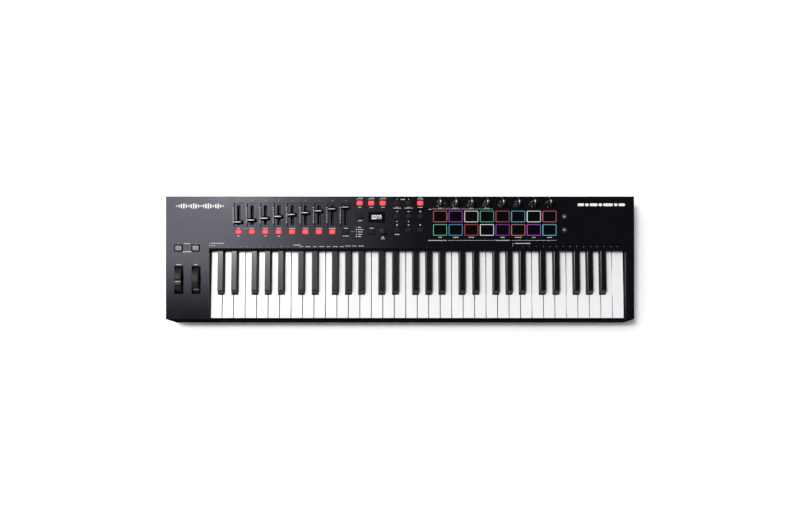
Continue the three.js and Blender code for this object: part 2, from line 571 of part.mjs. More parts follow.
// The power rocker: a shallow wedge that tips about an upright axis. It rests tipped to "off".
const ROCKER_TIP = THREE.MathUtils.degToRad(7);
function powerRocker() {
  const form = convex([-1, 1].flatMap((side) => [[-5.7, 1.6], [0, 0.2], [5.7, 1.6], [-3, -3.6], [3, -3.6]]
    .map(([x, y]) => [x, y, side * 3.9])));
  const rocker = place(keyboard, "power_rocker", "knob", form);
  rocker.position.set(SOCKET.power, fromRear(3.6), SOCKET.z);
  rocker.rotation.z = -ROCKER_TIP;
}

function foot() {
  return turned([[0, 0], [10.5, 0], [11.5, 1.2], [11.5, FOOT_HEIGHT], [0, FOOT_HEIGHT]]);
}

// ---- Assembly ------------------------------------------------------------------------------------
place(keyboard, "top_case", "case", topCase());
place(keyboard, "bottom_case", "lower", bottomCase());
place(keyboard, "keybed_chassis", "chassis", keybedChassis());
place(keyboard, "key_pivot_rod", "steel",
  bar("x", PIVOT.radius, KEYS_LEFT + 1, CHASSIS.right, [0, fromRear(PIVOT.fromRear), PIVOT.z], 8));
place(keyboard, "key_contact_board", "board", keyContactBoard());
keyMouldings();
place(panel, "fader_board", "board", faderBoard());
place(panel, "main_board", "board", mainBoard());
buttonMats();
faders();
knobs();
wheels();
place(keyboard, "wheel_bracket", "chassis", wheelBracket());
place(panel, "display_window", "glass", displayWindow());
place(keyboard, "power_board", "board", powerBoard());
place(keyboard, "data_board", "board", dataBoard());
place(keyboard, "pedal_jacks", "knob", pedalJacks());
powerRocker();
FEET.forEach(([x, v], i) => place(keyboard, `foot_${i + 1}`, "rubber", foot()).position.set(x, fromRear(v), 0));

export default keyboard;
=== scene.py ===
import json
import math

import bmesh
import bpy
from mathutils import Matrix, Vector

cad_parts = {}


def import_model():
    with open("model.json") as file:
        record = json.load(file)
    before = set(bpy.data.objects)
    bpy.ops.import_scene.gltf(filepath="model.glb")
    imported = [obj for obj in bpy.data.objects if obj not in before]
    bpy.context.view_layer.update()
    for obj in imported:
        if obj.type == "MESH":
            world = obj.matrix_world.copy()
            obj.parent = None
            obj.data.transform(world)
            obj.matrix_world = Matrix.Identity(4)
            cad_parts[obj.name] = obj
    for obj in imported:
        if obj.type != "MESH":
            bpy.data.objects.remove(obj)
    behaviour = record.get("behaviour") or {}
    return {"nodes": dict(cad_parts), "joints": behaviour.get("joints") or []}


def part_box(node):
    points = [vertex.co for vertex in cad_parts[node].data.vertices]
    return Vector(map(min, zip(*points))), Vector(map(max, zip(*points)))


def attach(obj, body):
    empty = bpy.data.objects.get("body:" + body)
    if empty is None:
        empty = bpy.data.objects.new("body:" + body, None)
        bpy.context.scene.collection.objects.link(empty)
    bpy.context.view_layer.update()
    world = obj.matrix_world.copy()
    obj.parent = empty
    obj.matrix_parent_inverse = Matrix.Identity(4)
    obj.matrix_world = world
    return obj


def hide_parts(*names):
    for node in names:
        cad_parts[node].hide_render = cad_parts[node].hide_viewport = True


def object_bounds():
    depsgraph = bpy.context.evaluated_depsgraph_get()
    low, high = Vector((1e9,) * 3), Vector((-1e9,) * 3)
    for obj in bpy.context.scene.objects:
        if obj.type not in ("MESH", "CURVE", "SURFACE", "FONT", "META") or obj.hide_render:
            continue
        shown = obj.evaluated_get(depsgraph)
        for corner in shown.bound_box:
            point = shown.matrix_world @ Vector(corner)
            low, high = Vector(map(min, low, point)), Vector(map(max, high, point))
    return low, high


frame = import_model()
cad_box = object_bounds()

# ---- The frame's own places ------------------------------------------------------------------------
# Shapes are written in millimetres and turned into metres when a mesh is made.
MM = 0.001
JOINTS = {j["name"]: j for j in frame["joints"]}
DEPTH = (cad_box[1].y - cad_box[0].y) / MM
REAR = cad_box[1].y / MM

# The sloped panel: x across, y back up the slope, z out of it, from the middle of its rear edge.
BACK = Vector(JOINTS["fader_1_slide"]["axis"])
OUT = Vector((1, 0, 0)).cross(BACK)
KNOB_PLACE = Vector(JOINTS["knob_1_turn"]["pos_m"])
KNOB_ROW = (cad_box[1].y - KNOB_PLACE.y) / BACK.y
PANEL_ORIGIN = KNOB_PLACE + BACK * KNOB_ROW
PANEL = Matrix.Translation((0, PANEL_ORIGIN.y, PANEL_ORIGIN.z)) @ Matrix((
    (1, BACK.x, OUT.x, 0), (0, BACK.y, OUT.y, 0), (0, BACK.z, OUT.z, 0), (0, 0, 0, 1)))


def on_panel(x, v, h=0.0):
    """The panel's frame moved to x, v behind its rear edge and h above it, in millimetres."""
    return PANEL @ Matrix.Translation(Vector((x, -v, h)) * MM)


def in_row(x, y, z):
    """The row frame moved to a point given in millimetres."""
    return Matrix.Translation(Vector((x, y, z)) * MM)


def centre_x(node):
    low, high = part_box(node)
    return (low.x + high.x) / 2 / MM


def panel_v(node):
    """How far the middle of a node lies from the panel's rear edge, in millimetres."""
    low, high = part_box(node)
    return -(PANEL.inverted() @ ((low + high) / 2)).y / MM


FADERS = [f"fader_{i}" for i in range(1, 9)] + ["master_fader"]
FADER_X = [centre_x(n) for n in FADERS]
KNOB_X = [JOINTS[f"knob_{i}_turn"]["pos_m"][0] / MM for i in range(1, 9)]
KNOB_V = KNOB_ROW / MM
ROWS = [KNOB_V, 40.9, 68.3]
LOW_ROW = panel_v("fader_button_mat")
MODE_X = [centre_x("mode_button_mat") + i * 23.5 for i in (-1, 0, 1)]
GRID_X = [centre_x("transport_button_mat") + i * 23.7 for i in (-1, 0, 1)]
EDIT_PLACES = [(MODE_X[0], ROWS[1]), (MODE_X[1], LOW_ROW)]
OCTAVE_X = [centre_x("octave_button_mat") + i * 17.45 for i in (-1, 1)]
OCTAVE_V = panel_v("octave_button_mat")
SCENE_X = centre_x("scene_button_mat")
DISPLAY = (centre_x("display_window"), 42.5)
ENCODER = (JOINTS["encoder_turn"]["pos_m"][0] / MM, LOW_ROW)
FADER_MIDDLE = 38
FADER_TRAVEL = 30
BUTTON = (12.7, 10.0)
PAD = (28.0, 22.9)


# ---- Mesh building ---------------------------------------------------------------------------------
EDGE_ANGLE = math.radians(32)  # an edge sharper than this is rounded by a bevel


class Solid:
    """Closed shells gathered into one mesh."""

    def __init__(self):
        self.verts = []
        self.faces = []

    def add(self, verts, faces, move=None):
        base = len(self.verts)
        self.verts += [move @ Vector(p) if move else Vector(p) for p in verts]
        self.faces += [[base + i for i in face] for face in faces]
        return self

    def stack(self, rings, move=None, closed=True):
        """Rings of points, each the same length, joined one to the next and capped at both ends."""
        count = len(rings[0])
        verts = [p for ring in rings for p in ring]
        faces = []
        for k in range(len(rings) - 1):
            low, high = k * count, (k + 1) * count
            for i in range(count):
                j = (i + 1) % count
                faces.append([low + i, low + j, high + j, high + i])
        if closed:
            faces.append(list(range(count))[::-1])
            faces.append([len(verts) - count + i for i in range(count)])
        else:
            last = len(verts) - count
            for i in range(count):
                j = (i + 1) % count
                faces.append([last + i, last + j, j, i])
        return self.add(verts, faces, move)

    def block(self, x0, x1, y0, y1, z0, z1):
        return self.stack([ring(rectangle(x1 - x0, y1 - y0, (x0 + x1) / 2, (y0 + y1) / 2), z)
                           for z in (z0, z1)])

    def bar(self, x, v, width, depth, low, high, radius=0.0):
        """A block with its middle at x, v, with round corners in plan."""
        outline = rounded(width, depth, radius, 3) if radius else rectangle(width, depth)
        moved = [(px + x, py - v) for px, py in outline]
        return self.stack([ring(moved, low), ring(moved, high)])

    def disc(self, x, v, radius, low, high, sides=24):
        outline = [(x + radius * math.cos(a), radius * math.sin(a) - v) for a in turns(sides)]
        return self.stack([ring(outline, low), ring(outline, high)])


def turns(count):
    return [2 * math.pi * i / count for i in range(count)]


def ring(outline, z):
    return [(x, y, z) for x, y in outline]


def rectangle(width, depth, x=0.0, y=0.0):
    return [(x + sx * width / 2, y + sy * depth / 2) for sx, sy in ((-1, -1), (1, -1), (1, 1), (-1, 1))]


def rounded(width, depth, radius, steps=4):
    """A rectangle's outline with round corners, anticlockwise."""
    points = []
    for corner, (sx, sy) in enumerate(((1, 1), (-1, 1), (-1, -1), (1, -1))):
        for i in range(steps + 1):
            a = math.pi / 2 * (corner + i / steps)
            points.append((sx * (width / 2 - radius) + radius * math.cos(a),
                           sy * (depth / 2 - radius) + radius * math.sin(a)))
    return points


def soft_block(width, depth, low, high, corner, edge, crown=0.0):
    """Rings of a block with round corners in plan and a rounded upper edge."""
    steps = 3
    rings = [ring(rounded(width, depth, corner), low)]
    for i in range(steps + 1):
        a = math.pi / 2 * i / steps
        inset = edge * (1 - math.cos(a))
        outline = rounded(width - 2 * inset, depth - 2 * inset, max(corner - inset, 0.05))
        rings.append(ring(outline, high - edge + edge * math.sin(a)))
    inner = rounded(width - 4 * edge, depth - 4 * edge, max(corner - edge, 0.05))
    rings.append(ring(inner, high + crown))
    return rings


def lathed(profile, sides, wave=None):
    """Rings of a turned piece from radius and height pairs. wave(angle, ring) adds to the radius."""
    rings = []
    for k, (radius, z) in enumerate(profile):
        rings.append([((radius + (wave(a, k) if wave else 0)) * math.cos(a),
                       (radius + (wave(a, k) if wave else 0)) * math.sin(a), z) for a in turns(sides)])
    return rings


def piece(name, solid, place, body, material, stands_for=(), bevel=0.0, sharp=35, segments=2):
    """One named object: its mesh in metres at place, its look, and the body that it rides on."""
    mesh = bpy.data.meshes.new(name)
    mesh.from_pydata([p * MM for p in solid.verts], [], solid.faces)
    bm = bmesh.new()
    bm.from_mesh(mesh)
    bmesh.ops.recalc_face_normals(bm, faces=bm.faces)
    bm.to_mesh(mesh)
    bm.free()
    mesh.polygons.foreach_set("use_smooth", [True] * len(mesh.polygons))
    mesh.set_sharp_from_angle(angle=math.radians(sharp))
    obj = bpy.data.objects.new(name, mesh)
    bpy.context.scene.collection.objects.link(obj)
    obj.matrix_world = place
    mesh.materials.append(material)
    if bevel:
        round_edges(obj, bevel, segments)
    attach(obj, body)
    if stands_for:
        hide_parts(*stands_for)
    return obj


def round_edges(obj, width, segments=2):
    edges = obj.modifiers.new("edges", "BEVEL")
    edges.width = width * MM
    edges.segments = segments
    edges.limit_method = "ANGLE"
    edges.angle_limit = EDGE_ANGLE
    edges.harden_normals = True


# ---- Materials -------------------------------------------------------------------------------------
def new_material(name, color, roughness, **sockets):
    material = bpy.data.materials.new(name)
    material.use_nodes = True
    shader = material.node_tree.nodes["Principled BSDF"]
    shader.inputs["Base Color"].default_value = (*color, 1)
    shader.inputs["Roughness"].default_value = roughness
    for socket, value in sockets.items():
        shader.inputs[socket.replace("_", " ")].default_value = value
    return material, material.node_tree, shader


def coordinates(tree, scale=(1, 1, 1)):
    """Object coordinates in metres, stretched by scale."""
    source = tree.nodes.new("ShaderNodeTexCoord")
    mapping = tree.nodes.new("ShaderNodeMapping")
    mapping.inputs["Scale"].default_value = scale
    tree.links.new(source.outputs["Object"], mapping.inputs["Vector"])
    return mapping.outputs["Vector"]


def from_middle(tree):
    """Where a point lies from the middle of its object, as a share of the object's size."""
    source = tree.nodes.new("ShaderNodeTexCoord")
    offset = tree.nodes.new("ShaderNodeVectorMath")
    offset.operation = "SUBTRACT"
    offset.inputs[1].default_value = (0.5, 0.5, 0.5)
    tree.links.new(source.outputs["Generated"], offset.inputs[0])
    return offset.outputs[0]


def noise(tree, vector, scale, detail=2.0, roughness=0.5):
    node = tree.nodes.new("ShaderNodeTexNoise")
    node.inputs["Scale"].default_value = scale
    node.inputs["Detail"].default_value = detail
    node.inputs["Roughness"].default_value = roughness
    tree.links.new(vector, node.inputs["Vector"])
    return node.outputs["Fac"]


def map_range(tree, value, source, target=(0.0, 1.0)):
    """A value carried from one span to another, and held at the ends."""
    node = tree.nodes.new("ShaderNodeMapRange")
    for name, limit in zip(("From Min", "From Max", "To Min", "To Max"), (*source, *target)):
        node.inputs[name].default_value = limit
    tree.links.new(value, node.inputs["Value"])
    return node.outputs["Result"]


def spread(tree, value, low, high):
    """A noise, which lies mostly between 0.3 and 0.7, spread between two limits."""
    return map_range(tree, value, (0.3, 0.7), (low, high))


def blend_colors(tree, value, dark, light):
    node = tree.nodes.new("ShaderNodeMix")
    node.data_type = "RGBA"
    node.inputs[6].default_value = (*dark, 1)
    node.inputs[7].default_value = (*light, 1)
    tree.links.new(value, node.inputs[0])
    return node.outputs[2]


def bump(tree, shader, height, distance_mm):
    node = tree.nodes.new("ShaderNodeBump")
    node.inputs["Distance"].default_value = distance_mm * MM
    tree.links.new(height, node.inputs["Height"])
    tree.links.new(node.outputs["Normal"], shader.inputs["Normal"])


def textured(name, dark, light, roughness, grain_mm, depth_mm, mottle_mm=25.0, stretch=(1, 1, 1), **sockets):
    """A moulded surface: fine grain in the bump, slow mottling in colour and roughness."""
    material, tree, shader = new_material(name, light, roughness[0], **sockets)
    vector = coordinates(tree, stretch)
    fine = noise(tree, vector, 1 / (grain_mm * MM), detail=3.0)
    slow = noise(tree, vector, 1 / (mottle_mm * MM), detail=4.0)
    tree.links.new(blend_colors(tree, slow, dark, light), shader.inputs["Base Color"])
    tree.links.new(spread(tree, slow, *roughness), shader.inputs["Roughness"])
    bump(tree, shader, fine, depth_mm)
    return material


def glowing(name, edge, middle, strength, edge_glow):
    """Silicone lit from behind: brightest in the middle of each button and deeper at its edges."""
    material, tree, shader = new_material(name, middle, 0.55)
    flatten = tree.nodes.new("ShaderNodeVectorMath")
    flatten.operation = "MULTIPLY"
    flatten.inputs[1].default_value = (1, 1, 0)
    tree.links.new(from_middle(tree), flatten.inputs[0])
    length = tree.nodes.new("ShaderNodeVectorMath")
    length.operation = "LENGTH"
    tree.links.new(flatten.outputs[0], length.inputs[0])
    grain = noise(tree, coordinates(tree), 1 / (0.9 * MM), detail=2.0)
    fade = map_range(tree, length.outputs["Value"], (0.2, 0.58))
    color = blend_colors(tree, fade, middle, edge)
    tree.links.new(color, shader.inputs["Base Color"])
    tree.links.new(color, shader.inputs["Emission Color"])
    glow = map_range(tree, fade, (0.0, 1.0), (strength, strength * edge_glow))
    tree.links.new(glow, shader.inputs["Emission Strength"])
    bump(tree, shader, grain, 0.02)
    return material


def lamp(name, color, strength):
    """A light guide: an even glow with a little mottling over a darker plastic of the same hue."""
    material, tree, shader = new_material(name, color, 0.5, Specular_IOR_Level=0.25)
    mottle = noise(tree, coordinates(tree), 1 / (3.0 * MM), detail=2.0)
    dim, plastic, shade = (tuple(share * c for c in color) for share in (0.8, 0.3, 0.2))
    tree.links.new(blend_colors(tree, mottle, dim, color), shader.inputs["Emission Color"])
    tree.links.new(blend_colors(tree, mottle, shade, plastic), shader.inputs["Base Color"])
    shader.inputs["Emission Strength"].default_value = strength
    return material


def spun_metal(name, color, roughness):
    """Turned aluminium: fine rings about the piece's own upright axis, and a highlight across them."""
    material, tree, shader = new_material(name, color, roughness, Metallic=1.0, Anisotropic=0.8)
    tangent = tree.nodes.new("ShaderNodeTangent")
    tangent.direction_type = "RADIAL"
    tangent.axis = "Z"
    tree.links.new(tangent.outputs["Tangent"], shader.inputs["Tangent"])
    waves = tree.nodes.new("ShaderNodeTexWave")
    waves.wave_type = "RINGS"
    waves.rings_direction = "Z"
    waves.inputs["Scale"].default_value = 4.0
    waves.inputs["Distortion"].default_value = 0.4
    tree.links.new(from_middle(tree), waves.inputs["Vector"])
    streaks = noise(tree, coordinates(tree), 1 / (2.5 * MM))
    tree.links.new(spread(tree, streaks, roughness * 0.8, roughness * 1.25), shader.inputs["Roughness"])
    bump(tree, shader, waves.outputs["Fac"], 0.006)
    return material


def brushed(name, color, roughness, stretch=(1, 1, 1)):
    material, tree, shader = new_material(name, color, roughness, Metallic=1.0)
    lines = noise(tree, coordinates(tree, stretch), 1 / (0.5 * MM), detail=4.0, roughness=0.7)
    tree.links.new(spread(tree, lines, roughness * 0.7, roughness * 1.4), shader.inputs["Roughness"])
    bump(tree, shader, lines, 0.008)
    return material


def circuit_board(name, mask, tracks):
    """Solder mask with copper tracks showing through it as paler lines."""
    material, tree, shader = new_material(name, mask, 0.35, Specular_IOR_Level=0.2)
    bricks = tree.nodes.new("ShaderNodeTexBrick")
    bricks.inputs["Scale"].default_value = 1 / (9 * MM)
    bricks.inputs["Mortar Size"].default_value = 0.05
    bricks.inputs["Color1"].default_value = (*mask, 1)
    bricks.inputs["Color2"].default_value = (*(1.2 * c for c in mask), 1)
    bricks.inputs["Mortar"].default_value = (*tracks, 1)
    tree.links.new(coordinates(tree), bricks.inputs["Vector"])
    tree.links.new(bricks.outputs["Color"], shader.inputs["Base Color"])
    bump(tree, shader, bricks.outputs["Fac"], 0.03)
    return material


CASE = textured("case_plastic", (0.0032, 0.0035, 0.0048), (0.0038, 0.0041, 0.0056), (0.095, 0.115), 0.35,
                0.003, Specular_IOR_Level=0.57, Specular_Tint=(0.87, 0.86, 1.0, 1.0))
CASE_SIDES = textured("case_side_plastic", (0.004, 0.0043, 0.005), (0.0055, 0.0058, 0.0066), (0.38, 0.46),
                      0.5, 0.02, Specular_IOR_Level=0.35)
# Painted shade: this copy of the case plastic has no reflection, so the case's slopes, edges and bevels stay
# dark.
CASE_EDGE_SHADOW = textured("case_edge_shade_plastic", (0.004, 0.0043, 0.005), (0.005, 0.0053, 0.006), (0.5, 0.6), 0.5,
                      0.02, Specular_IOR_Level=0.0)
BASE = textured("base_plastic", (0.004, 0.004, 0.0045), (0.0055, 0.0055, 0.006), (0.42, 0.52), 0.6, 0.03,
                Specular_IOR_Level=0.3)
# Painted shade: a near-black finish with no reflection, laid as strips and rings in seams, grooves and gaps
# to stand for the shadow in them.
PAINTED_SHADE = textured("painted_shade_black", (0.0012, 0.0012, 0.0014), (0.002, 0.002, 0.0023), (0.6, 0.7), 0.4, 0.01,
                 Specular_IOR_Level=0.0)
CHASSIS = textured("chassis_plastic", (0.02, 0.02, 0.022), (0.03, 0.03, 0.033), (0.5, 0.6), 0.8, 0.03)
WHITE = textured("white_key_plastic", (0.73, 0.735, 0.74), (0.76, 0.765, 0.77), (0.2, 0.28), 0.5, 0.002,
                 mottle_mm=40.0, Coat_Weight=0.25, Coat_Roughness=0.15)
BLACK = textured("black_key_plastic", (0.004, 0.0041, 0.0045), (0.0055, 0.0056, 0.006), (0.12, 0.15), 0.25,
                 0.003, stretch=(1, 0.25, 1))
# Painted shade: a darker copy of the key plastic that barely reflects, for the black keys' upright sides, so
# each flank reads dark as shade.
BLACK_SIDE_SHADOW = textured("black_key_side_shade_plastic", (0.003, 0.0031, 0.0034), (0.004, 0.0041, 0.0045),
                       (0.4, 0.5), 0.25, 0.006, Specular_IOR_Level=0.1)
BLACK_EDGES = textured("black_key_edge_plastic", (0.003, 0.0031, 0.0034), (0.004, 0.0041, 0.0045),
                       (0.33, 0.38), 0.25, 0.006, Specular_IOR_Level=0.5)
CAP = textured("cap_plastic", (0.003, 0.003, 0.0035), (0.005, 0.005, 0.0055), (0.3, 0.4), 0.3, 0.008,
               Specular_IOR_Level=0.16)
SOCKET = textured("socket_plastic", (0.006, 0.006, 0.006), (0.01, 0.01, 0.01), (0.35, 0.45), 0.4, 0.01)
WHEEL = textured("wheel_rubber", (0.004, 0.004, 0.0045), (0.007, 0.007, 0.0075), (0.5, 0.62), 0.3, 0.015,
                 Specular_IOR_Level=0.3)
WHEEL_MARK = textured("wheel_mark_plastic", (0.27, 0.27, 0.27), (0.33, 0.33, 0.33), (0.45, 0.55), 0.3,
                      0.004)
FOOT = textured("foot_rubber", (0.006, 0.006, 0.006), (0.012, 0.012, 0.012), (0.75, 0.85), 0.4, 0.03)
SILICONE = textured("silicone", (0.0045, 0.0045, 0.0052), (0.006, 0.006, 0.007), (0.5, 0.6), 0.4, 0.012,
                    Specular_IOR_Level=0.1)
PAD_SILICONE = textured("pad_silicone", (0.0022, 0.0022, 0.0028), (0.0032, 0.0032, 0.004), (0.55, 0.65), 0.4,
                        0.012, Specular_IOR_Level=0.0)
SMOKE_SILICONE = textured("smoke_silicone", (0.021, 0.021, 0.023), (0.032, 0.032, 0.034), (0.5, 0.6), 0.4,
                          0.012, Specular_IOR_Level=0.1)
PALE_SILICONE = textured("pale_silicone", (0.15, 0.15, 0.155), (0.19, 0.19, 0.195), (0.5, 0.6), 0.4, 0.012)
GLASS = textured("window_acrylic", (0.0008, 0.0008, 0.001), (0.0012, 0.0012, 0.0014), (0.12, 0.16), 3.0,
                 0.0005, Specular_IOR_Level=0.1)
INK = textured("white_ink", (0.62, 0.62, 0.62), (0.8, 0.8, 0.8), (0.5, 0.6), 0.3, 0.002)
SMALL_INK = textured("small_ink", (0.42, 0.42, 0.42), (0.54, 0.54, 0.54), (0.5, 0.6), 0.3, 0.002)
STEEL = brushed("rod_steel", (0.55, 0.55, 0.56), 0.3, (0.05, 1, 1))
SCREW = brushed("screw_steel", (0.12, 0.12, 0.125), 0.4)
METAL = spun_metal("trim_metal", (0.05, 0.05, 0.053), 0.27)
RIDGE = brushed("ridge_metal", (0.2, 0.195, 0.205), 0.36, (0.1, 1, 1))
CONTACT = brushed("contact_metal", (0.7, 0.68, 0.62), 0.25)
BOARD = circuit_board("circuit_board", (0.006, 0.07, 0.03), (0.03, 0.2, 0.08))
DARK_BOARD = circuit_board("dark_circuit_board", (0.0025, 0.0025, 0.003), (0.005, 0.005, 0.0055))
RED = glowing("red_button", (0.45, 0.004, 0.01), (0.95, 0.04, 0.06), 0.85, 0.42)

# ---- Carried-over CAD nodes ------------------------------------------------------------------------
NODE_LOOKS = {
    "top_case": (CASE, 0.35), "bottom_case": (BASE, 0.5), "keybed_chassis": (CHASSIS, 0.0),
    "key_pivot_rod": (STEEL, 0.0), "key_contact_board": (BOARD, 0.0), "fader_board": (DARK_BOARD, 0.0),
    "main_board": (BOARD, 0.0), "wheel_bracket": (CHASSIS, 0.3), "power_board": (SOCKET, 0.0),
    "data_board": (SOCKET, 0.0), "pedal_jacks": (SOCKET, 0.0),
}


# A face's look goes by the upright part of its normal: level faces, slopes and edges, and side walls. The
# slopes and edges get an unreflecting copy of the plastic, as painted shade.
CASE_LEVEL = 0.97
CASE_WALL = 0.2
NO_FACE = 2.0  # more than any normal has


def dress_nodes():
    """The carried-over nodes' looks.

    The top case is satin above and duller on its sides. Its slopes, edges and bevels, and the bottom case's
    upward faces, get a copy of the plastic with no reflection: painted shade that keeps them dark.
    """
    for name, (material, edge) in NODE_LOOKS.items():
        node = frame["nodes"][name]
        node.data.materials.clear()
        node.data.materials.append(material)
        weld = node.modifiers.new("weld", "WELD")
        weld.merge_threshold = 1e-5
        flat = node.modifiers.new("flat", "DECIMATE")
        flat.decimate_type = "DISSOLVE"
        flat.angle_limit = math.radians(0.4)
        if edge:
            round_edges(node, edge)
    for name, sides, level in (("top_case", CASE_SIDES, CASE_LEVEL), ("bottom_case", BASE, NO_FACE)):
        case = frame["nodes"][name]
        case.data.materials.append(sides)
        case.data.materials.append(CASE_EDGE_SHADOW)
        for face in case.data.polygons:
            rise = face.normal.z
            face.material_index = 0 if rise > level else 1 if rise < CASE_WALL else 2
        # The bevels take the unreflecting copy as well: painted shade along the edges.
        case.modifiers["edges"].material = 2
        case.modifiers["edges"].harden_normals = False


# ---- Keys ------------------------------------------------------------------------------------------
WHITE_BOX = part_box("octave_1_white_keys_cegb")
BLACK_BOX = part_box("octave_1_black_keys")
OCTAVE = (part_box("octave_2_white_keys_cegb")[0].x - WHITE_BOX[0].x) / MM
OCTAVES = 5
KEY_PITCH = OCTAVE / 7
KEY_GAP = 1.0
KEY_SEAM = 1.5
KEYS_LEFT = WHITE_BOX[0].x / MM - KEY_GAP / 2
WHITE_TOP = WHITE_BOX[1].z / MM
WHITE_FRONT = WHITE_BOX[0].y / MM
BLACK_TOP = BLACK_BOX[1].z / MM
BLACK_FRONT = BLACK_BOX[0].y / MM
BLACK_WIDTH = 13.4
BLACK_PLACES = ((1, -2.3), (2, 2.3), (4, -3.5), (5, 0.0), (6, 3.5))
BLACK_SIDE_GAP = 0.5
# The upright part of a face's normal is above these on the flat playing top, and on its chamfers; the steeper
# faces below take the darker shaded copy.
BLACK_LEVEL = 0.99
BLACK_CHAMFER = 0.4
BLACK_REAR = REAR - 103
WHITE_REAR = REAR - 98
WHITE_NOTCH = REAR - 200.2
NAMES = "CDEFGAB"
BLACK_NAMES = ("C_sharp", "D_sharp", "F_sharp", "G_sharp", "A_sharp")
BLACK_CENTRES = [line * KEY_PITCH + shift for line, shift in BLACK_PLACES]


def white_edges(index, beside_black=True):
    """Left and right edges of a white key: in front of the black keys, and between them."""
    a, b = index * KEY_PITCH, (index + 1) * KEY_PITCH
    c, d = a + KEY_SEAM / 2, b - KEY_SEAM / 2
    reach = BLACK_WIDTH / 2 + BLACK_SIDE_GAP
    for centre in BLACK_CENTRES if beside_black else ():
        if centre - reach < b and centre > a + KEY_PITCH / 2:
            d = min(d, centre - reach)
        if centre + reach > a and centre < a + KEY_PITCH / 2:
            c = max(c, centre + reach)
    return a + KEY_SEAM / 2, b - KEY_SEAM / 2, c, d


def white_key(name, octave, index, body, beside_black=True):
    """A hollow-fronted white key: wide in front of the black keys, narrow between them, with a lip."""
    a, b, c, d = white_edges(index, beside_black)
    skin, bottom, lip = 2.2, WHITE_TOP - 12, 26.0
    outline = [(a, WHITE_FRONT), (b, WHITE_FRONT), (b, WHITE_FRONT + skin), (b, WHITE_NOTCH),
               (d, WHITE_NOTCH), (d, WHITE_REAR), (c, WHITE_REAR), (c, WHITE_NOTCH), (a, WHITE_NOTCH),
               (a, WHITE_FRONT + skin)]
    count = len(outline)
    verts = ring(outline, WHITE_TOP) + ring(outline, bottom)
    verts += ring([outline[i] for i in (0, 1, 2, count - 1)], lip)
    faces = [list(range(count)), [count + i for i in range(2, count)][::-1]]
    faces += [[i, (i + 1) % count, count + (i + 1) % count, count + i] for i in range(count)]
    f, g, h, k = 2 * count, 2 * count + 1, 2 * count + 2, 2 * count + 3
    faces += [[count, count + 1, g, f], [count + 1, count + 2, h, g], [count + 2, 2 * count - 1, k, h],
              [2 * count - 1, count, f, k], [f, g, h, k]]
    solid = Solid().add(verts, faces)
    place = in_row(KEYS_LEFT + octave * OCTAVE, 0, 0)
    key = piece(name, solid, place, body, WHITE, [body], sharp=180)
    weights = key.data.attributes.new("bevel_weight_edge", "FLOAT", "EDGE")
    for edge in key.data.edges:
        p, q = (key.data.vertices[i].co / MM for i in edge.vertices)
        level = abs(p.z - WHITE_TOP) < 0.01 and abs(q.z - WHITE_TOP) < 0.01
        at_front = level and abs(p.y - WHITE_FRONT) < 0.01 and abs(q.y - WHITE_FRONT) < 0.01
        upright = abs(p.z - q.z) > 1
        corner = upright and max(p.y, q.y) < WHITE_FRONT + 0.01
        weights.data[edge.index].value = 1.0 if at_front else 0.4 if level or corner else 0.0
    edges = key.modifiers.new("edges", "BEVEL")
    edges.width = 1.1 * MM
    edges.segments = 3
    edges.limit_method = "WEIGHT"
    edges.harden_normals = True


def black_key(name, octave, centre, body):
    """A black key: upright sides, chamfered long edges, a sloping front and a flat playing top."""
    rings = []
    # height above the base, width, how far the front and the rear are drawn in, corner radius
    sections = ((-17.0, 13.4, 0.0, 0.0, 0.8), (-8.5, 13.4, 0.1, 0.0, 0.9), (-2.2, 11.9, 4.4, 0.0, 1.2),
                (-0.8, 11.4, 5.6, 0.2, 1.4), (-0.28, 10.9, 6.4, 0.5, 1.3), (0.0, 9.3, 7.2, 1.0, 1.2))
    for height, width, front, rear, radius in sections:
        y0, y1 = BLACK_FRONT + front, BLACK_REAR - rear
        outline = rounded(width, y1 - y0, radius, 3)
        rings.append(ring([(x, y + (y0 + y1) / 2) for x, y in outline], BLACK_TOP + height))
    place = in_row(KEYS_LEFT + octave * OCTAVE + centre, 0, 0)
    key = piece(name, Solid().stack(rings), place, body, BLACK, [body], sharp=6)
    # Painted shade: the upright sides take the darker copy that barely reflects.
    key.data.materials.append(BLACK_SIDE_SHADOW)
    key.data.materials.append(BLACK_EDGES)
    for face in key.data.polygons:
        rise = face.normal.z
        face.material_index = 0 if rise > BLACK_LEVEL else 2 if rise > BLACK_CHAMFER else 1


def keys():
    for octave in range(OCTAVES):
        for index, letter in enumerate(NAMES):
            comb = "cegb" if letter in "CEGB" else "dfa"
            body = f"octave_{octave + 1}_white_keys_{comb}"
            white_key(f"key_{letter}{octave + 1}", octave, index, body)
        for letter, centre in zip(BLACK_NAMES, BLACK_CENTRES):
            black_key(f"key_{letter}{octave + 1}", octave, centre, f"octave_{octave + 1}_black_keys")
    white_key(f"key_C{OCTAVES + 1}", OCTAVES, 0, "top_c_white_key", beside_black=False)


# ---- Controls --------------------------------------------------------------------------------------
PAD_COLOURS = (
    ((0.42, 0.09, 0.11), (0.3, 0.05, 0.41), (0.66, 0.66, 0.68), (0.05, 0.41, 0.2),
     (0.41, 0.06, 0.09), (0.08, 0.39, 0.46), (0.74, 0.74, 0.76), (0.47, 0.09, 0.12)),
    ((0.09, 0.47, 0.27), (0.05, 0.3, 0.47), (0.47, 0.05, 0.05), (0.75, 0.75, 0.78),
     (0.21, 0.04, 0.35), (0.47, 0.17, 0.1), (0.4, 0.07, 0.46), (0.09, 0.47, 0.53)),
)


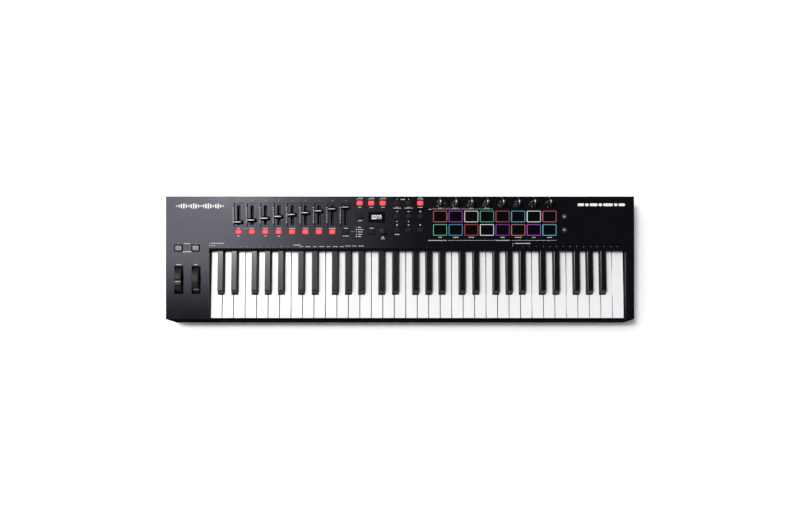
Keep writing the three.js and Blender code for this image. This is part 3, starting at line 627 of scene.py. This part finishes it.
def pads():
    for row, v in enumerate(ROWS[1:]):
        for column, x in enumerate(KNOB_X):
            number = row * 8 + column + 1
            light = lamp(f"pad_light_{number}", PAD_COLOURS[row][column], 0.75)
            rim = 1.15
            outer, inner = rounded(*PAD, 1.6), rounded(PAD[0] - 2 * rim, PAD[1] - 2 * rim, 0.8)
            shoulder = rounded(PAD[0] - 0.5, PAD[1] - 0.5, 1.4)
            frame_rings = [ring(outer, -2.4), ring(outer, 1.2), ring(shoulder, 1.5), ring(inner, 1.5),
                           ring(inner, -2.4)]
            piece(f"pad_light_{number}", Solid().stack(frame_rings, closed=False), on_panel(x, v), "pad_mat",
                  light, ["pad_mat"])
            size = (PAD[0] - 2 * rim - 0.1, PAD[1] - 2 * rim - 0.1)
            body = Solid().stack(soft_block(*size, -2.4, 1.65, 0.8, 0.4, 0.1))
            piece(f"pad_{number}", body, on_panel(x, v), "pad_mat", PAD_SILICONE, ["pad_mat"])
    web = Solid().bar((KNOB_X[0] + KNOB_X[-1]) / 2, (ROWS[1] + ROWS[2]) / 2,
                      KNOB_X[-1] - KNOB_X[0] + 34, ROWS[2] - ROWS[1] + 34, -4.2, -3.2, 2.0)
    piece("pad_mat_web", web, PANEL, "pad_mat", SILICONE, ["pad_mat"], bevel=0.2)


def fader_dishes():
    """Each fader's shallow dish, with painted shade: dark strips on three sides, widest on the left, and a
    dark lip around the slot.
    """
    for i, x in enumerate(FADER_X):
        half, rear, front, low, high = 10.0, FADER_MIDDLE - 24.2, FADER_MIDDLE + 24.2, -1.2, -0.95
        # Painted shade: the dish's left wall, which lies in shadow, gets a 1.5 mm strip; its rear and right
        # edges get 0.5 mm ones.
        shade_strips = Solid().block(x - half, x - half + 1.5, -front, -rear, low, high)
        shade_strips.block(x - half, x + half, -rear - 0.5, -rear, low, high)
        shade_strips.block(x + half - 0.5, x + half, -front, -rear, low, high)
        # Painted shade: a dark lip round the slot makes the slot read black.
        outer, inner = (rectangle(width, depth, x, -FADER_MIDDLE)
                        for width, depth in ((6.8, 40.6), (4.2, 38.2)))
        shade_strips.stack([ring(outer, low), ring(outer, high), ring(inner, high), ring(inner, low)], closed=False)
        piece(f"fader_dish_shade_strips_{i + 1}", shade_strips, PANEL, "case", PAINTED_SHADE)


def button(name, x, v, mat, material, corner=1.1):
    solid = Solid().stack(soft_block(*BUTTON, -3.2, 1.1, corner, 0.45, 0.1))
    piece(name, solid, on_panel(x, v), mat, material, [mat])


def buttons():
    for i, x in enumerate(FADER_X):
        lit = i < 8
        button(f"fader_button_{i + 1}", x, LOW_ROW, "fader_button_mat", RED if lit else SILICONE)
    for i, x in enumerate(MODE_X):
        button(f"mode_button_{i + 1}", x, ROWS[0], "mode_button_mat", RED)
    for i, (x, v) in enumerate(EDIT_PLACES):
        button(f"edit_button_{i + 1}", x, v, "edit_button_mat", SILICONE)
    for row, v in enumerate(ROWS):
        for column, x in enumerate(GRID_X):
            lit = row == 0 and column == 2
            button(f"transport_button_{3 * row + column + 1}", x, v, "transport_button_mat",
                   RED if lit else SILICONE)
    for side, x in zip(("down", "up"), OCTAVE_X):
        button(f"octave_button_{side}", x, OCTAVE_V, "octave_button_mat", PALE_SILICONE, 0.5)
        # Painted shade: three dark strips across the button's top stand for the shadow in its grooves.
        groove_shade = Solid()
        for v in (-2.9, 0.0, 2.9):
            groove_shade.bar(0, v, BUTTON[0] - 2.4, 0.8, 1.05, 1.13)
        place = on_panel(x, OCTAVE_V)
        piece(f"octave_button_groove_shade_{side}", groove_shade, place, "octave_button_mat", PAINTED_SHADE)
        # Painted shade: a dark ring on the panel round the button stands for the shadow in the gap about it.
        outer, inner = (rounded(BUTTON[0] + 2 * edge, BUTTON[1] + 2 * edge, 0.6 + edge / 2)
                        for edge in (2.4, 0.4))
        rim = Solid().stack([ring(outer, 0), ring(outer, 0.12), ring(inner, 0.12), ring(inner, 0)],
                            closed=False)
        piece(f"octave_button_gap_shade_{side}", rim, place, "case", PAINTED_SHADE)
    for i, v in enumerate(ROWS[1:]):
        profile = [(5.3, -3.2), (5.3, 0.6), (5.1, 1.0), (4.7, 1.2), (0.05, 1.35)]
        piece(f"scene_button_{i + 1}", Solid().stack(lathed(profile, 40)), on_panel(SCENE_X, v),
              "scene_button_mat", SMOKE_SILICONE, ["scene_button_mat"])
        arrow = [(-1.2, -1.7), (1.9, 0.0), (-1.2, 1.7)]
        mark = Solid().stack([ring(arrow, 1.2), ring(arrow, 1.42)])
        piece(f"scene_button_mark_{i + 1}", mark, on_panel(SCENE_X, v), "scene_button_mat", INK)


def fader_cap(name, x, v):
    # height, width, depth, corner radius
    sections = ((0.6, 16.1, 8.0, 0.8), (0.9, 16.5, 8.4, 1.0), (4.0, 16.4, 8.1, 1.0), (5.4, 16.2, 6.4, 1.0),
                (7.2, 16.0, 4.4, 0.9), (9.4, 15.7, 3.2, 0.8), (11.0, 15.5, 2.7, 0.7), (11.4, 15.0, 2.2, 0.6))
    rings = [ring(rounded(width, depth, radius, 3), z) for z, width, depth, radius in sections]
    piece(f"{name}_cap", Solid().stack(rings), on_panel(x, v), name, CAP, [name], sharp=50)
    ridge = [(-7.2, -0.35), (-5.0, -0.75), (1.0, -0.75), (7.2, -0.2), (7.2, 0.2), (1.0, 0.75), (-5.0, 0.75),
             (-7.2, 0.35)]
    piece(f"{name}_ridge", Solid().stack([ring(ridge, 11.3), ring(ridge, 11.5)]), on_panel(x, v), name,
          RIDGE)
    lever = Solid().block(-1.7, 1.7, -0.6, 0.6, -7, 0.9)
    piece(f"{name}_lever", lever, on_panel(x, v), name, STEEL, [name], bevel=0.1)


def knob(name, x, v, radius, height, metal_cap):
    flutes = 26
    ribbed = (4, 5)

    def wave(angle, k):
        return 0.16 * math.cos(flutes * angle) if k in ribbed else 0.0

    profile = [(0.05, -7.9), (2.9, -7.9), (2.9, 0.8), (radius + 0.2, 0.8), (radius, 2.0),
               (radius - 0.5, height - 1.8), (radius - 0.7, height - 0.9), (radius - 1.1, height - 0.35),
               (radius - 1.5, height - 0.3), (0.05, height - 0.3)]
    piece(f"{name}_body", Solid().stack(lathed(profile, 104, wave)), on_panel(x, v), name, CAP,
          [name], sharp=45)
    if metal_cap:
        face = [(0.05, height - 0.3), (radius - 2.0, height - 0.3), (radius - 2.1, height - 0.05),
                (0.05, height - 0.12)]
        piece(f"{name}_cap", Solid().stack(lathed(face, 64)), on_panel(x, v), name, METAL)
        pointer = Solid().bar(0, -(radius - 3.4), 1.5, 5.2, height - 0.1, height, 0.4)
        piece(f"{name}_pointer", pointer, on_panel(x, v), name, INK)


def wheel(name, turned):
    """A wheel with a rubber tread: fine cross ribs, rounded shoulders and a finger hollow."""
    pos = Vector(JOINTS[f"{name}_turn"]["pos_m"])
    radius, width, hollow, dip, hub = 29.0, 14.3, math.radians(13), 3.0, 20.0
    steps = 288
    sections = ((-width / 2, 1.6), (-width / 2 + 0.5, 0.5), (-width / 2 + 1.6, 0.0),
                (width / 2 - 1.6, 0.0), (width / 2 - 0.5, 0.5), (width / 2, 1.6))
    rings = []
    for x, inset in [(-width / 2, hub), *sections, (width / 2, hub)]:
        loop = []
        for a in turns(steps):
            offset = (a + math.pi) % (2 * math.pi) - math.pi
            share = min(abs(offset) / hollow, 1.0)
            sink = dip * 0.5 * (1 + math.cos(math.pi * share)) if inset < hub else 0.0
            rib = 0.18 if inset == 0 and share >= 1 and round(a / (2 * math.pi) * steps) % 4 < 2 else 0.0
            r = radius - inset - sink - rib
            loop.append((x, r * math.sin(a), r * math.cos(a)))
        rings.append(loop)
    place = Matrix.Translation(pos)
    turn = PANEL.to_3x3().to_4x4() @ Matrix.Rotation(turned, 4, "X")
    piece(f"{name}_tread", Solid().stack(rings, turn), place, name, WHEEL, [name], sharp=40)
    floor_radius = radius - dip
    half, low, high = 5.4, floor_radius - 0.6, floor_radius + 0.45
    ends = [[(x, -1.3, low), (x, 1.3, low), (x, 1.1, high), (x, -1.1, high)] for x in (-half, half)]
    mark = Solid().stack(ends, turn)
    piece(f"{name}_mark", mark, place, name, WHEEL_MARK, bevel=0.1)


PITCH_REST = math.radians(6.5)
MOD_REST = math.radians(47)


def controls():
    for name, x in zip(FADERS, FADER_X):
        low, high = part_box(name)
        cap_v = -(PANEL.inverted() @ Vector((x * MM, (low.y + high.y) / 2, high.z))).y / MM
        fader_cap(name, x, cap_v)
    for i, x in enumerate(KNOB_X):
        knob(f"knob_{i + 1}", x, KNOB_V, 6.5, 15.0, True)
    knob("encoder_knob", *ENCODER, 6.6, 13.0, False)
    wheel("pitch_wheel", PITCH_REST)
    wheel("modulation_wheel", MOD_REST)


def display():
    window = Solid().stack(soft_block(34.4, 21.3, -1.5, -0.1, 0.6, 0.2))
    piece("display_glass", window, on_panel(*DISPLAY), "case", GLASS, ["display_window"])
    lit = lamp("display_light", (0.7, 0.74, 0.78), 1.15)
    rows = Solid()
    layer = (-0.1, -0.02)
    for v, blocks in ((-3.6, ((-9.6, -5.6), (-4.8, -1.0), (0.0, 4.0), (5.2, 9.6))),
                      (-0.6, ((-10.4, -4.2), (-3.2, 2.0), (3.2, 10.2)))):
        for x0, x1 in blocks:
            rows.bar((x0 + x1) / 2, v, x1 - x0, 1.7, *layer)
    rows.bar(-5.3, 2.7, 10.0, 1.9, *layer)
    rows.bar(5.5, 2.9, 9.6, 0.7, *layer)
    piece("display_rows", rows, on_panel(*DISPLAY), "case", lit)


def feet():
    for i in range(1, 5):
        low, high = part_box(f"foot_{i}")
        middle = (low + high) / 2 / MM
        profile = [(0.05, 0.0), (8.6, 0.0), (9.4, 0.25), (9.6, 0.7), (9.8, 0.7), (10.0, 0.2), (10.7, 0.2),
                   (11.3, 0.9), (11.5, 2.0), (11.5, 4.6), (0.05, 4.6)]
        piece(f"foot_pad_{i}", Solid().stack(lathed(profile, 64)), in_row(middle.x, middle.y, 0), "case",
              FOOT, [f"foot_{i}"])


# ---- Printed markings ------------------------------------------------------------------------------
INK_DEPTH = 0.05


class Print(Solid):
    """Thin shapes on the panel: x across, v forwards from its rear edge."""

    def dash(self, x, v, width, height=1.2):
        return self.bar(x, v, width, height, 0, INK_DEPTH)

    def label(self, x, v, width, height=1.2, word=4.2, gap=0.7):
        """A line of small print, drawn as short plain dashes."""
        count = max(1, round(width / word))
        step = (width + gap) / count
        for i in range(count):
            self.dash(x - width / 2 + step * (i + 0.5) - gap / 2, v, step - gap, height)
        return self

    def dot(self, x, v, radius):
        return self.disc(x, v, radius, 0, INK_DEPTH, 12)

    def shape(self, points, x, v):
        outline = [(px + x, py - v) for px, py in points]
        return self.stack([ring(outline, 0), ring(outline, INK_DEPTH)])

    def hoop(self, x, v, radius, thick):
        outer = [(x + radius * math.cos(a), radius * math.sin(a) - v) for a in turns(20)]
        inner = [(x + (radius - thick) * math.cos(a), (radius - thick) * math.sin(a) - v) for a in turns(20)]
        return self.stack([ring(outer, 0), ring(outer, INK_DEPTH), ring(inner, INK_DEPTH), ring(inner, 0)],
                          closed=False)

    def number(self, value, x, v, size):
        curve = bpy.data.curves.new("number", "FONT")
        curve.body = str(value)
        curve.size = size
        curve.align_x = curve.align_y = "CENTER"
        curve.resolution_u = 2
        holder = bpy.data.objects.new("number", curve)
        mesh = bpy.data.meshes.new_from_object(holder)
        faces = [list(p.vertices) for p in mesh.polygons]
        flat = [(p.co.x + x, p.co.y - v, INK_DEPTH) for p in mesh.vertices]
        self.add(flat, faces)
        bpy.data.objects.remove(holder)
        bpy.data.curves.remove(curve)
        bpy.data.meshes.remove(mesh)
        return self


LEFT_ARROW = [(-1.1, 0.0), (0.9, -1.1), (0.9, 1.1)]
RIGHT_ARROW = [(1.1, 0.0), (-0.9, 1.1), (-0.9, -1.1)]
PLAY_ARROW = [(1.6, 0.0), (-1.3, 1.6), (-1.3, -1.6)]


def print_left(ink):
    middle = sum(OCTAVE_X) / 2
    ink.dash(OCTAVE_X[0], 96.2, 2.2, 0.8).dash(OCTAVE_X[1], 96.2, 2.2, 0.8).dash(OCTAVE_X[1], 96.2, 0.8, 2.2)
    ink.label(middle, 96.2, 11.5, 1.4).label(middle, 112.6, 17.0, 1.7)
    for name, width in (("pitch_wheel", 9.5), ("modulation_wheel", 6.5)):
        ink.label(JOINTS[f"{name}_turn"]["pos_m"][0] / MM, 138.8, width, 1.6)


def print_faders(ink):
    for i, x in enumerate(FADER_X):
        ink.number(i + 1, x, 8.4, 3.2)
        for tick in range(9):
            v = FADER_MIDDLE + FADER_TRAVEL * (tick / 8 - 0.5)
            ink.dash(x - 11.2, v, 1.9 if tick % 4 else 2.5, 1.2)
    for x, width in zip(FADER_X, (5.0, 9.0, 10.0, 9.0, 13.0, 11.0, 13.0, 13.0, 8.0)):
        ink.label(x, 65.0, width, 1.3)
    for i, width in ((0, 5.5), (2, 5.0), (3, 5.5), (8, 12.0)):
        ink.label(FADER_X[i], 80.6, width, 1.3)
    ink.dash((FADER_X[0] + FADER_X[1]) / 2, 65.0, 14.0, 0.4)
    ink.dash(FADER_X[8] + 14.5, LOW_ROW - 0.5, 8.0, 0.4)


def print_middle(ink):
    for x in MODE_X:
        ink.label(x + 1.5, 2.8, 8.0, 0.7).label(x, 5.0, 13.0, 1.0).label(x, 22.2, 7.0, 1.2)
    for (x, v), below in zip(EDIT_PLACES, (8.4, -7.3)):
        ink.label(x + 1.0, v + below, 8.0, 1.4)
    x, v = ENCODER
    ink.label(x, v + 9.6, 3.6, 1.2).label(x, v + 11.8, 4.6, 1.2).label(x, v + 14.0, 8.0, 1.3)
    for v, width in zip(MODE_LIGHTS, (6.0, 11.0, 9.0, 8.0, 6.0)):
        ink.label(MODE_LIGHT_X + 3.2 + width / 2, v, width, 1.4)


def print_transport(ink):
    left, middle, right = GRID_X
    ink.shape(LEFT_ARROW, left, 6.0).shape(RIGHT_ARROW, middle, 6.0)
    ink.label((left + middle) / 2, 6.0, 8.0, 1.6)
    ink.label(right, 2.8, 7.0, 0.8).label(right, 5.2, 12.0, 1.1).label(right, 22.2, 10.0, 1.1)
    for x in (left, middle):
        ink.label(x, 21.6, 6.0, 0.8).label(x, 23.8, 16.0, 1.1)
        ink.label(x, 57.6 - 6.6, 2.4, 1.4)
    for x, arrow in ((left, LEFT_ARROW), (middle, RIGHT_ARROW)):
        ink.shape(arrow, x - 0.9, 30.8).shape(arrow, x + 0.9, 30.8)
    ink.hoop(right, 30.8, 1.9, 0.6)
    ink.dash(left, 58.2, 2.6, 2.6).shape(PLAY_ARROW, middle, 58.2).dot(right, 58.2, 1.5)
    ink.label(left, 77.4, 9.0, 1.5)


def print_pads(ink):
    for i, x in enumerate(KNOB_X):
        ink.number(i + 1, x, 2.5, 3.0)
        ink.dot(x - 3.3, 20.8, 0.55).dot(x + 3.3, 20.8, 0.55)
        if i < 4:
            ink.label(x, 24.0, (8.0, 11.0, 8.0, 11.0)[i], 1.1)
        if i != 3:
            ink.label(x, 83.4, (7.0, 11.0, 11.0, 0.0, 8.0, 13.0, 7.0, 9.0)[i], 1.4)
    left, right = KNOB_X[0] - PAD[0] / 2 - 10.0, KNOB_X[-1] + PAD[0] / 2
    ink.label(left + 3.2, 26.4, 6.4, 1.1).dash(left + 69.0, 25.6, 122.0, 0.4)
    ink.dash(left + 130.0, 24.8, 0.5, 2.1)
    ink.label(left + 18.5, 89.6, 37.0, 1.4).dash(left + 86.5, 89.6, 93.0, 0.5)
    ink.dash(left + 135.5, 88.6, 0.5, 2.6).label(left + 151.5, 89.6, 28.0, 1.4)
    ink.dash((left + 169.0 + right) / 2, 89.6, right - left - 169.0, 0.5)


def print_key_row(ink):
    """Small figures and labels in a row behind the keys, under a bracketed heading at each end."""
    v, step, dashes = 102.2, 13.77, 1.2
    first = KEYS_LEFT + 22.1
    for i in range(11):
        ink.number(i + 1, first + i * step, v, 2.6)
    for i in range(7):
        ink.label(first + (11.95 + i) * step, v, 7.0 + 2.5 * (i % 2), dashes)
    for i, width in ((18.85, 11.5), (19.8, 8.5), (20.8, 10.5)):
        ink.label(first + i * step, v - 1.2, width, dashes)
    left = KEYS_LEFT + 16
    ink.label(left, 95.4, 25.0, 1.5).dash(left - 16.4, 98.6, 0.5, 6.6).dash(left - 14.8, 95.4, 3.0, 0.5)
    ink.label(left - 9.4, 100.2, 9.0, 1.0).label(left + 161.6, 99.0, 14.5, 1.4)
    right = KEYS_LEFT + 4 * OCTAVE - 20.4
    for i in range(15):
        ink.number((i + 1) % 10, right + i * step, v, 2.6)
    ink.label(right, 95.8, 30.0, 1.6).dash(right - 20.5, 99.2, 0.5, 7.0).dash(right - 18.4, 95.8, 4.0, 0.5)


def print_marks(ink):
    """Two plain ornaments in place of names: a row of level bars, and a row of pills."""
    heights = (2.4, 5.0, 8.4, 10.6, 7.2, 4.2, 8.0, 11.0, 9.2, 5.6, 3.0, 6.4, 9.8, 11.0, 7.6, 4.6, 8.6, 10.2,
               6.0, 2.8)
    for i, height in enumerate(heights):
        x = -455.2 + i * 5.0
        ink.stack([ring([(px + x, py - 19.6) for px, py in rounded(2.9, height, 1.2, 3)], z)
                   for z in (0, INK_DEPTH)])
    x = 362.0
    for width in (13.0, 7.0, 16.0, 7.0, 20.0, 7.0, 13.0):
        ink.stack([ring([(px + x + width / 2, py - 17.0) for px, py in rounded(width, 5.6, 2.4, 4)], z)
                   for z in (0, INK_DEPTH)])
        x += width + 2.2


MODE_LIGHT_X = -88.6
MODE_LIGHTS = (63.0, 67.5, 72.2, 77.3, 81.6)
MODE_LIGHT_COLOURS = ((0.8, 0.02, 0.05), (0.7, 0.7, 0.7), (0.02, 0.5, 0.3), (0.3, 0.3, 0.3),
                      (0.65, 0.65, 0.65))


def markings():
    parts = {"left": print_left, "faders": print_faders, "middle": print_middle,
             "transport": print_transport, "pads": print_pads, "key_row": print_key_row, "marks": print_marks}
    for name, draw in parts.items():
        ink = Print()
        draw(ink)
        piece(f"print_{name}", ink, PANEL, "case", INK if name == "marks" else SMALL_INK)
    for i, (v, color) in enumerate(zip(MODE_LIGHTS, MODE_LIGHT_COLOURS)):
        light = lamp(f"mode_light_{i + 1}", color, 1.0)
        body = Solid().stack(soft_block(2.4, 1.7, -0.6, 0.25, 0.3, 0.2))
        piece(f"mode_light_{i + 1}", body, on_panel(MODE_LIGHT_X, v), "case", light)


# ---- Rear and underside ----------------------------------------------------------------------------
SOCKET_Z = 20.5
JACK_X = [-306, -282]
SOCKET_X = {"usb": -366, "dc": -392, "midi": -336}
SCREW_PLACES = [(-466, 9), (-236, 7.5), (-99, 7), (362, 9), (466, 9), (-466, 236), (467.5, 236),
                *((x, v) for v in (150, 230) for x in (-300, -100, 100, 300))]


def facing_rear(x):
    """A frame on the rear face, at the sockets' height, whose own z points out of it."""
    return in_row(x, REAR, SOCKET_Z) @ Matrix.Rotation(-math.pi / 2, 4, "X")


def tube_rings(outer, inner, low, high, sides=48, edge=0.15):
    profile = [(outer, low), (outer, high - edge), (outer - edge, high), (inner + edge, high),
               (inner, high - edge), (inner, low)]
    return lathed(profile, sides)


def in_socket(name, x, solid, slot="contact_metal", material=CONTACT):
    piece(name, solid, facing_rear(x), "case", material)


def rear_details():
    plastic = ("socket_plastic", SOCKET)
    for i, x in enumerate(JACK_X):
        nut = tube_rings(5.5, 3.5, -0.75, -0.1)
        in_socket(f"jack_nut_{i + 1}", x, Solid().stack(nut, closed=False))
        barrel = tube_rings(3.35, 3.2, -26.0, -0.8)
        in_socket(f"jack_sleeve_{i + 1}", x, Solid().stack(barrel, closed=False))
    x = SOCKET_X["usb"]
    shell = []
    for (width, height, low) in ((8.5, 7.7, -9.6), (8.5, 7.7, -0.9), (8.0, 7.2, -0.9), (8.0, 7.2, -9.6)):
        shell.append(ring(rounded(width, height, 0.5), low))
    in_socket("usb_shell", x, Solid().stack(shell, closed=False))
    tongue = Solid().stack(soft_block(5.6, 3.2, -9.6, -2.2, 0.3, 0.2))
    in_socket("usb_tongue", x, tongue, *plastic)
    x = SOCKET_X["dc"]
    pin = Solid().stack(lathed([(0.05, -11.6), (0.65, -11.6), (0.65, -3.0), (0.4, -2.5), (0.05, -2.4)], 20))
    in_socket("power_pin", x, pin)
    x = SOCKET_X["midi"]
    in_socket("midi_shell", x, Solid().stack(tube_rings(7.5, 6.9, -11.8, -1.0), closed=False))
    insert = Solid().stack(lathed([(0.05, -11.8), (6.8, -11.8), (6.8, -6.4), (6.5, -6.2), (0.05, -6.2)], 40))
    in_socket("midi_insert", x, insert, *plastic)
    contacts = Solid()
    for angle in (-90, -45, 0, 45, 90):
        a = math.radians(angle + 90)
        contacts.disc(4.6 * math.cos(a), -4.6 * math.sin(a), 0.75, -6.3, -6.05, 14)
    in_socket("midi_contacts", x, contacts)


def rocker():
    """The power rocker: a shallow vee of two plain faces."""
    pos = Vector(JOINTS["power_rocker_tip"]["pos_m"])
    tip = math.radians(7)
    place = Matrix.Translation(pos) @ Matrix.Rotation(-tip, 4, "Z")
    profile = [(-5.7, 1.6), (-3.0, 0.65), (0.0, 0.2), (3.0, 0.65), (5.7, 1.6), (5.2, 0.2), (3.0, -3.6),
               (-3.0, -3.6), (-5.2, 0.2)]
    body = Solid().stack([[(x, y, z) for x, y in profile] for z in (-3.9, 3.9)])
    piece("power_rocker_cap", body, place, "power_rocker", SOCKET, ["power_rocker"],
          bevel=0.25, segments=3)


def case_screws():
    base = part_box("bottom_case")[0].z / MM
    for i, (x, v) in enumerate(SCREW_PLACES):
        profile = [(0.05, 0.15), (2.9, 0.15), (3.0, 0.0), (2.8, -0.35), (2.0, -0.75), (0.05, -0.95)]
        head = Solid().stack(lathed(profile, 32))
        place = in_row(x, REAR - v, base)
        piece(f"case_screw_{i + 1}", head, place, "case", SCREW)
        slots = Solid().block(-1.5, 1.5, -0.3, 0.3, -1.0, -0.7)
        slots.block(-0.3, 0.3, -1.5, 1.5, -1.0, -0.7)
        piece(f"case_screw_slot_{i + 1}", slots, place, "case", SOCKET)


# ---- Assembly --------------------------------------------------------------------------------------
dress_nodes()
keys()
pads()
fader_dishes()
buttons()
controls()
display()
feet()
markings()
rear_details()
rocker()
case_screws()

# ---- Floor, light and camera -----------------------------------------------------------------------
VIEW_HEIGHT = 1.448
VIEW_FORWARD = 0.001
VIEW_TILT = math.radians(3.2)
SOFTBOX, HORIZON, CEILING = 3.4, 0.5, 0.02
# The softbox's four sides as slopes from upright, across and back: where its light starts, where it is full.
BOX_RIGHT = (0.06, -0.24)
BOX_LEFT = (-1.3, -1.1)
BOX_FRONT = (-0.135, -0.05)
BOX_REAR = (1.2, 1.0)
HORIZON_BAND = (0.88, 0.3)  # how high the horizon's light ends, and where it is full
KEY_PLACE = Vector((-1.25, 0.9, 4.0))
KEY_POWER = 122


def floor():
    mesh = bpy.data.meshes.new("floor")
    reach = 12.0
    mesh.from_pydata([(-reach, -reach, 0), (reach, -reach, 0), (reach, reach, 0), (-reach, reach, 0)], [],
                     [(0, 1, 2, 3)])
    obj = bpy.data.objects.new("floor", mesh)
    bpy.context.scene.collection.objects.link(obj)
    material = textured("floor_paper", (0.91, 0.91, 0.91), (0.93, 0.93, 0.93), (0.85, 0.95), 2.0, 0.0)
    mesh.materials.append(material)


def key_light():
    """A round lamp up at the rear left: its short soft shadows grow towards the right-hand end."""
    data = bpy.data.lights.new("key", "AREA")
    data.shape = "DISK"
    data.size = 0.96
    data.energy = KEY_POWER
    obj = bpy.data.objects.new("key", data)
    bpy.context.scene.collection.objects.link(obj)
    obj.location = KEY_PLACE
    obj.rotation_euler = KEY_PLACE.to_track_quat("Z", "Y").to_euler()


def world():
    """A studio: a pale horizon, a dark ceiling, and a wide softbox overhead at the rear left."""
    studio = bpy.data.worlds.new("studio")
    bpy.context.scene.world = studio
    studio.use_nodes = True
    tree = studio.node_tree
    source = tree.nodes.new("ShaderNodeTexCoord")
    split = tree.nodes.new("ShaderNodeSeparateXYZ")
    tree.links.new(source.outputs["Generated"], split.inputs["Vector"])

    def combined(operation, first, second):
        node = tree.nodes.new("ShaderNodeMath")
        node.operation = operation
        for socket, value in zip(node.inputs, (first, second)):
            if isinstance(value, float):
                socket.default_value = value
            else:
                tree.links.new(value, socket)
        return node.outputs["Value"]

    height = combined("MAXIMUM", split.outputs["Z"], 0.05)
    across = combined("DIVIDE", split.outputs["X"], height)
    back = combined("DIVIDE", split.outputs["Y"], height)
    edge = combined("POWER", map_range(tree, across, BOX_RIGHT), 2.0)
    box = combined("MULTIPLY", edge, map_range(tree, across, BOX_LEFT))
    box = combined("MULTIPLY", box, combined("POWER", map_range(tree, back, BOX_FRONT), 2.0))
    box = combined("MULTIPLY", box, map_range(tree, back, BOX_REAR))
    box = combined("MULTIPLY", box, SOFTBOX)
    ring_light = combined("MULTIPLY", map_range(tree, split.outputs["Z"], HORIZON_BAND), HORIZON)
    total = combined("ADD", combined("ADD", box, ring_light), CEILING)
    background = tree.nodes["Background"]
    tree.links.new(total, background.inputs["Strength"])
    background.inputs["Color"].default_value = (0.97, 0.98, 1.0, 1)


def camera():
    data = bpy.data.cameras.new("camera")
    data.sensor_width = 36
    data.lens = 32
    data.clip_end = 50
    obj = bpy.data.objects.new("camera", data)
    bpy.context.scene.collection.objects.link(obj)
    middle = PANEL @ (Vector((0, -DEPTH / 2, 0)) * MM)
    direction = Vector((0, -math.sin(VIEW_TILT), math.cos(VIEW_TILT)))
    obj.location = middle + direction * VIEW_HEIGHT - BACK * VIEW_FORWARD
    obj.rotation_euler = (VIEW_TILT, 0, 0)
    bpy.context.scene.camera = obj


floor()
world()
key_light()
camera()
bpy.context.scene.view_settings.view_transform = "Standard"
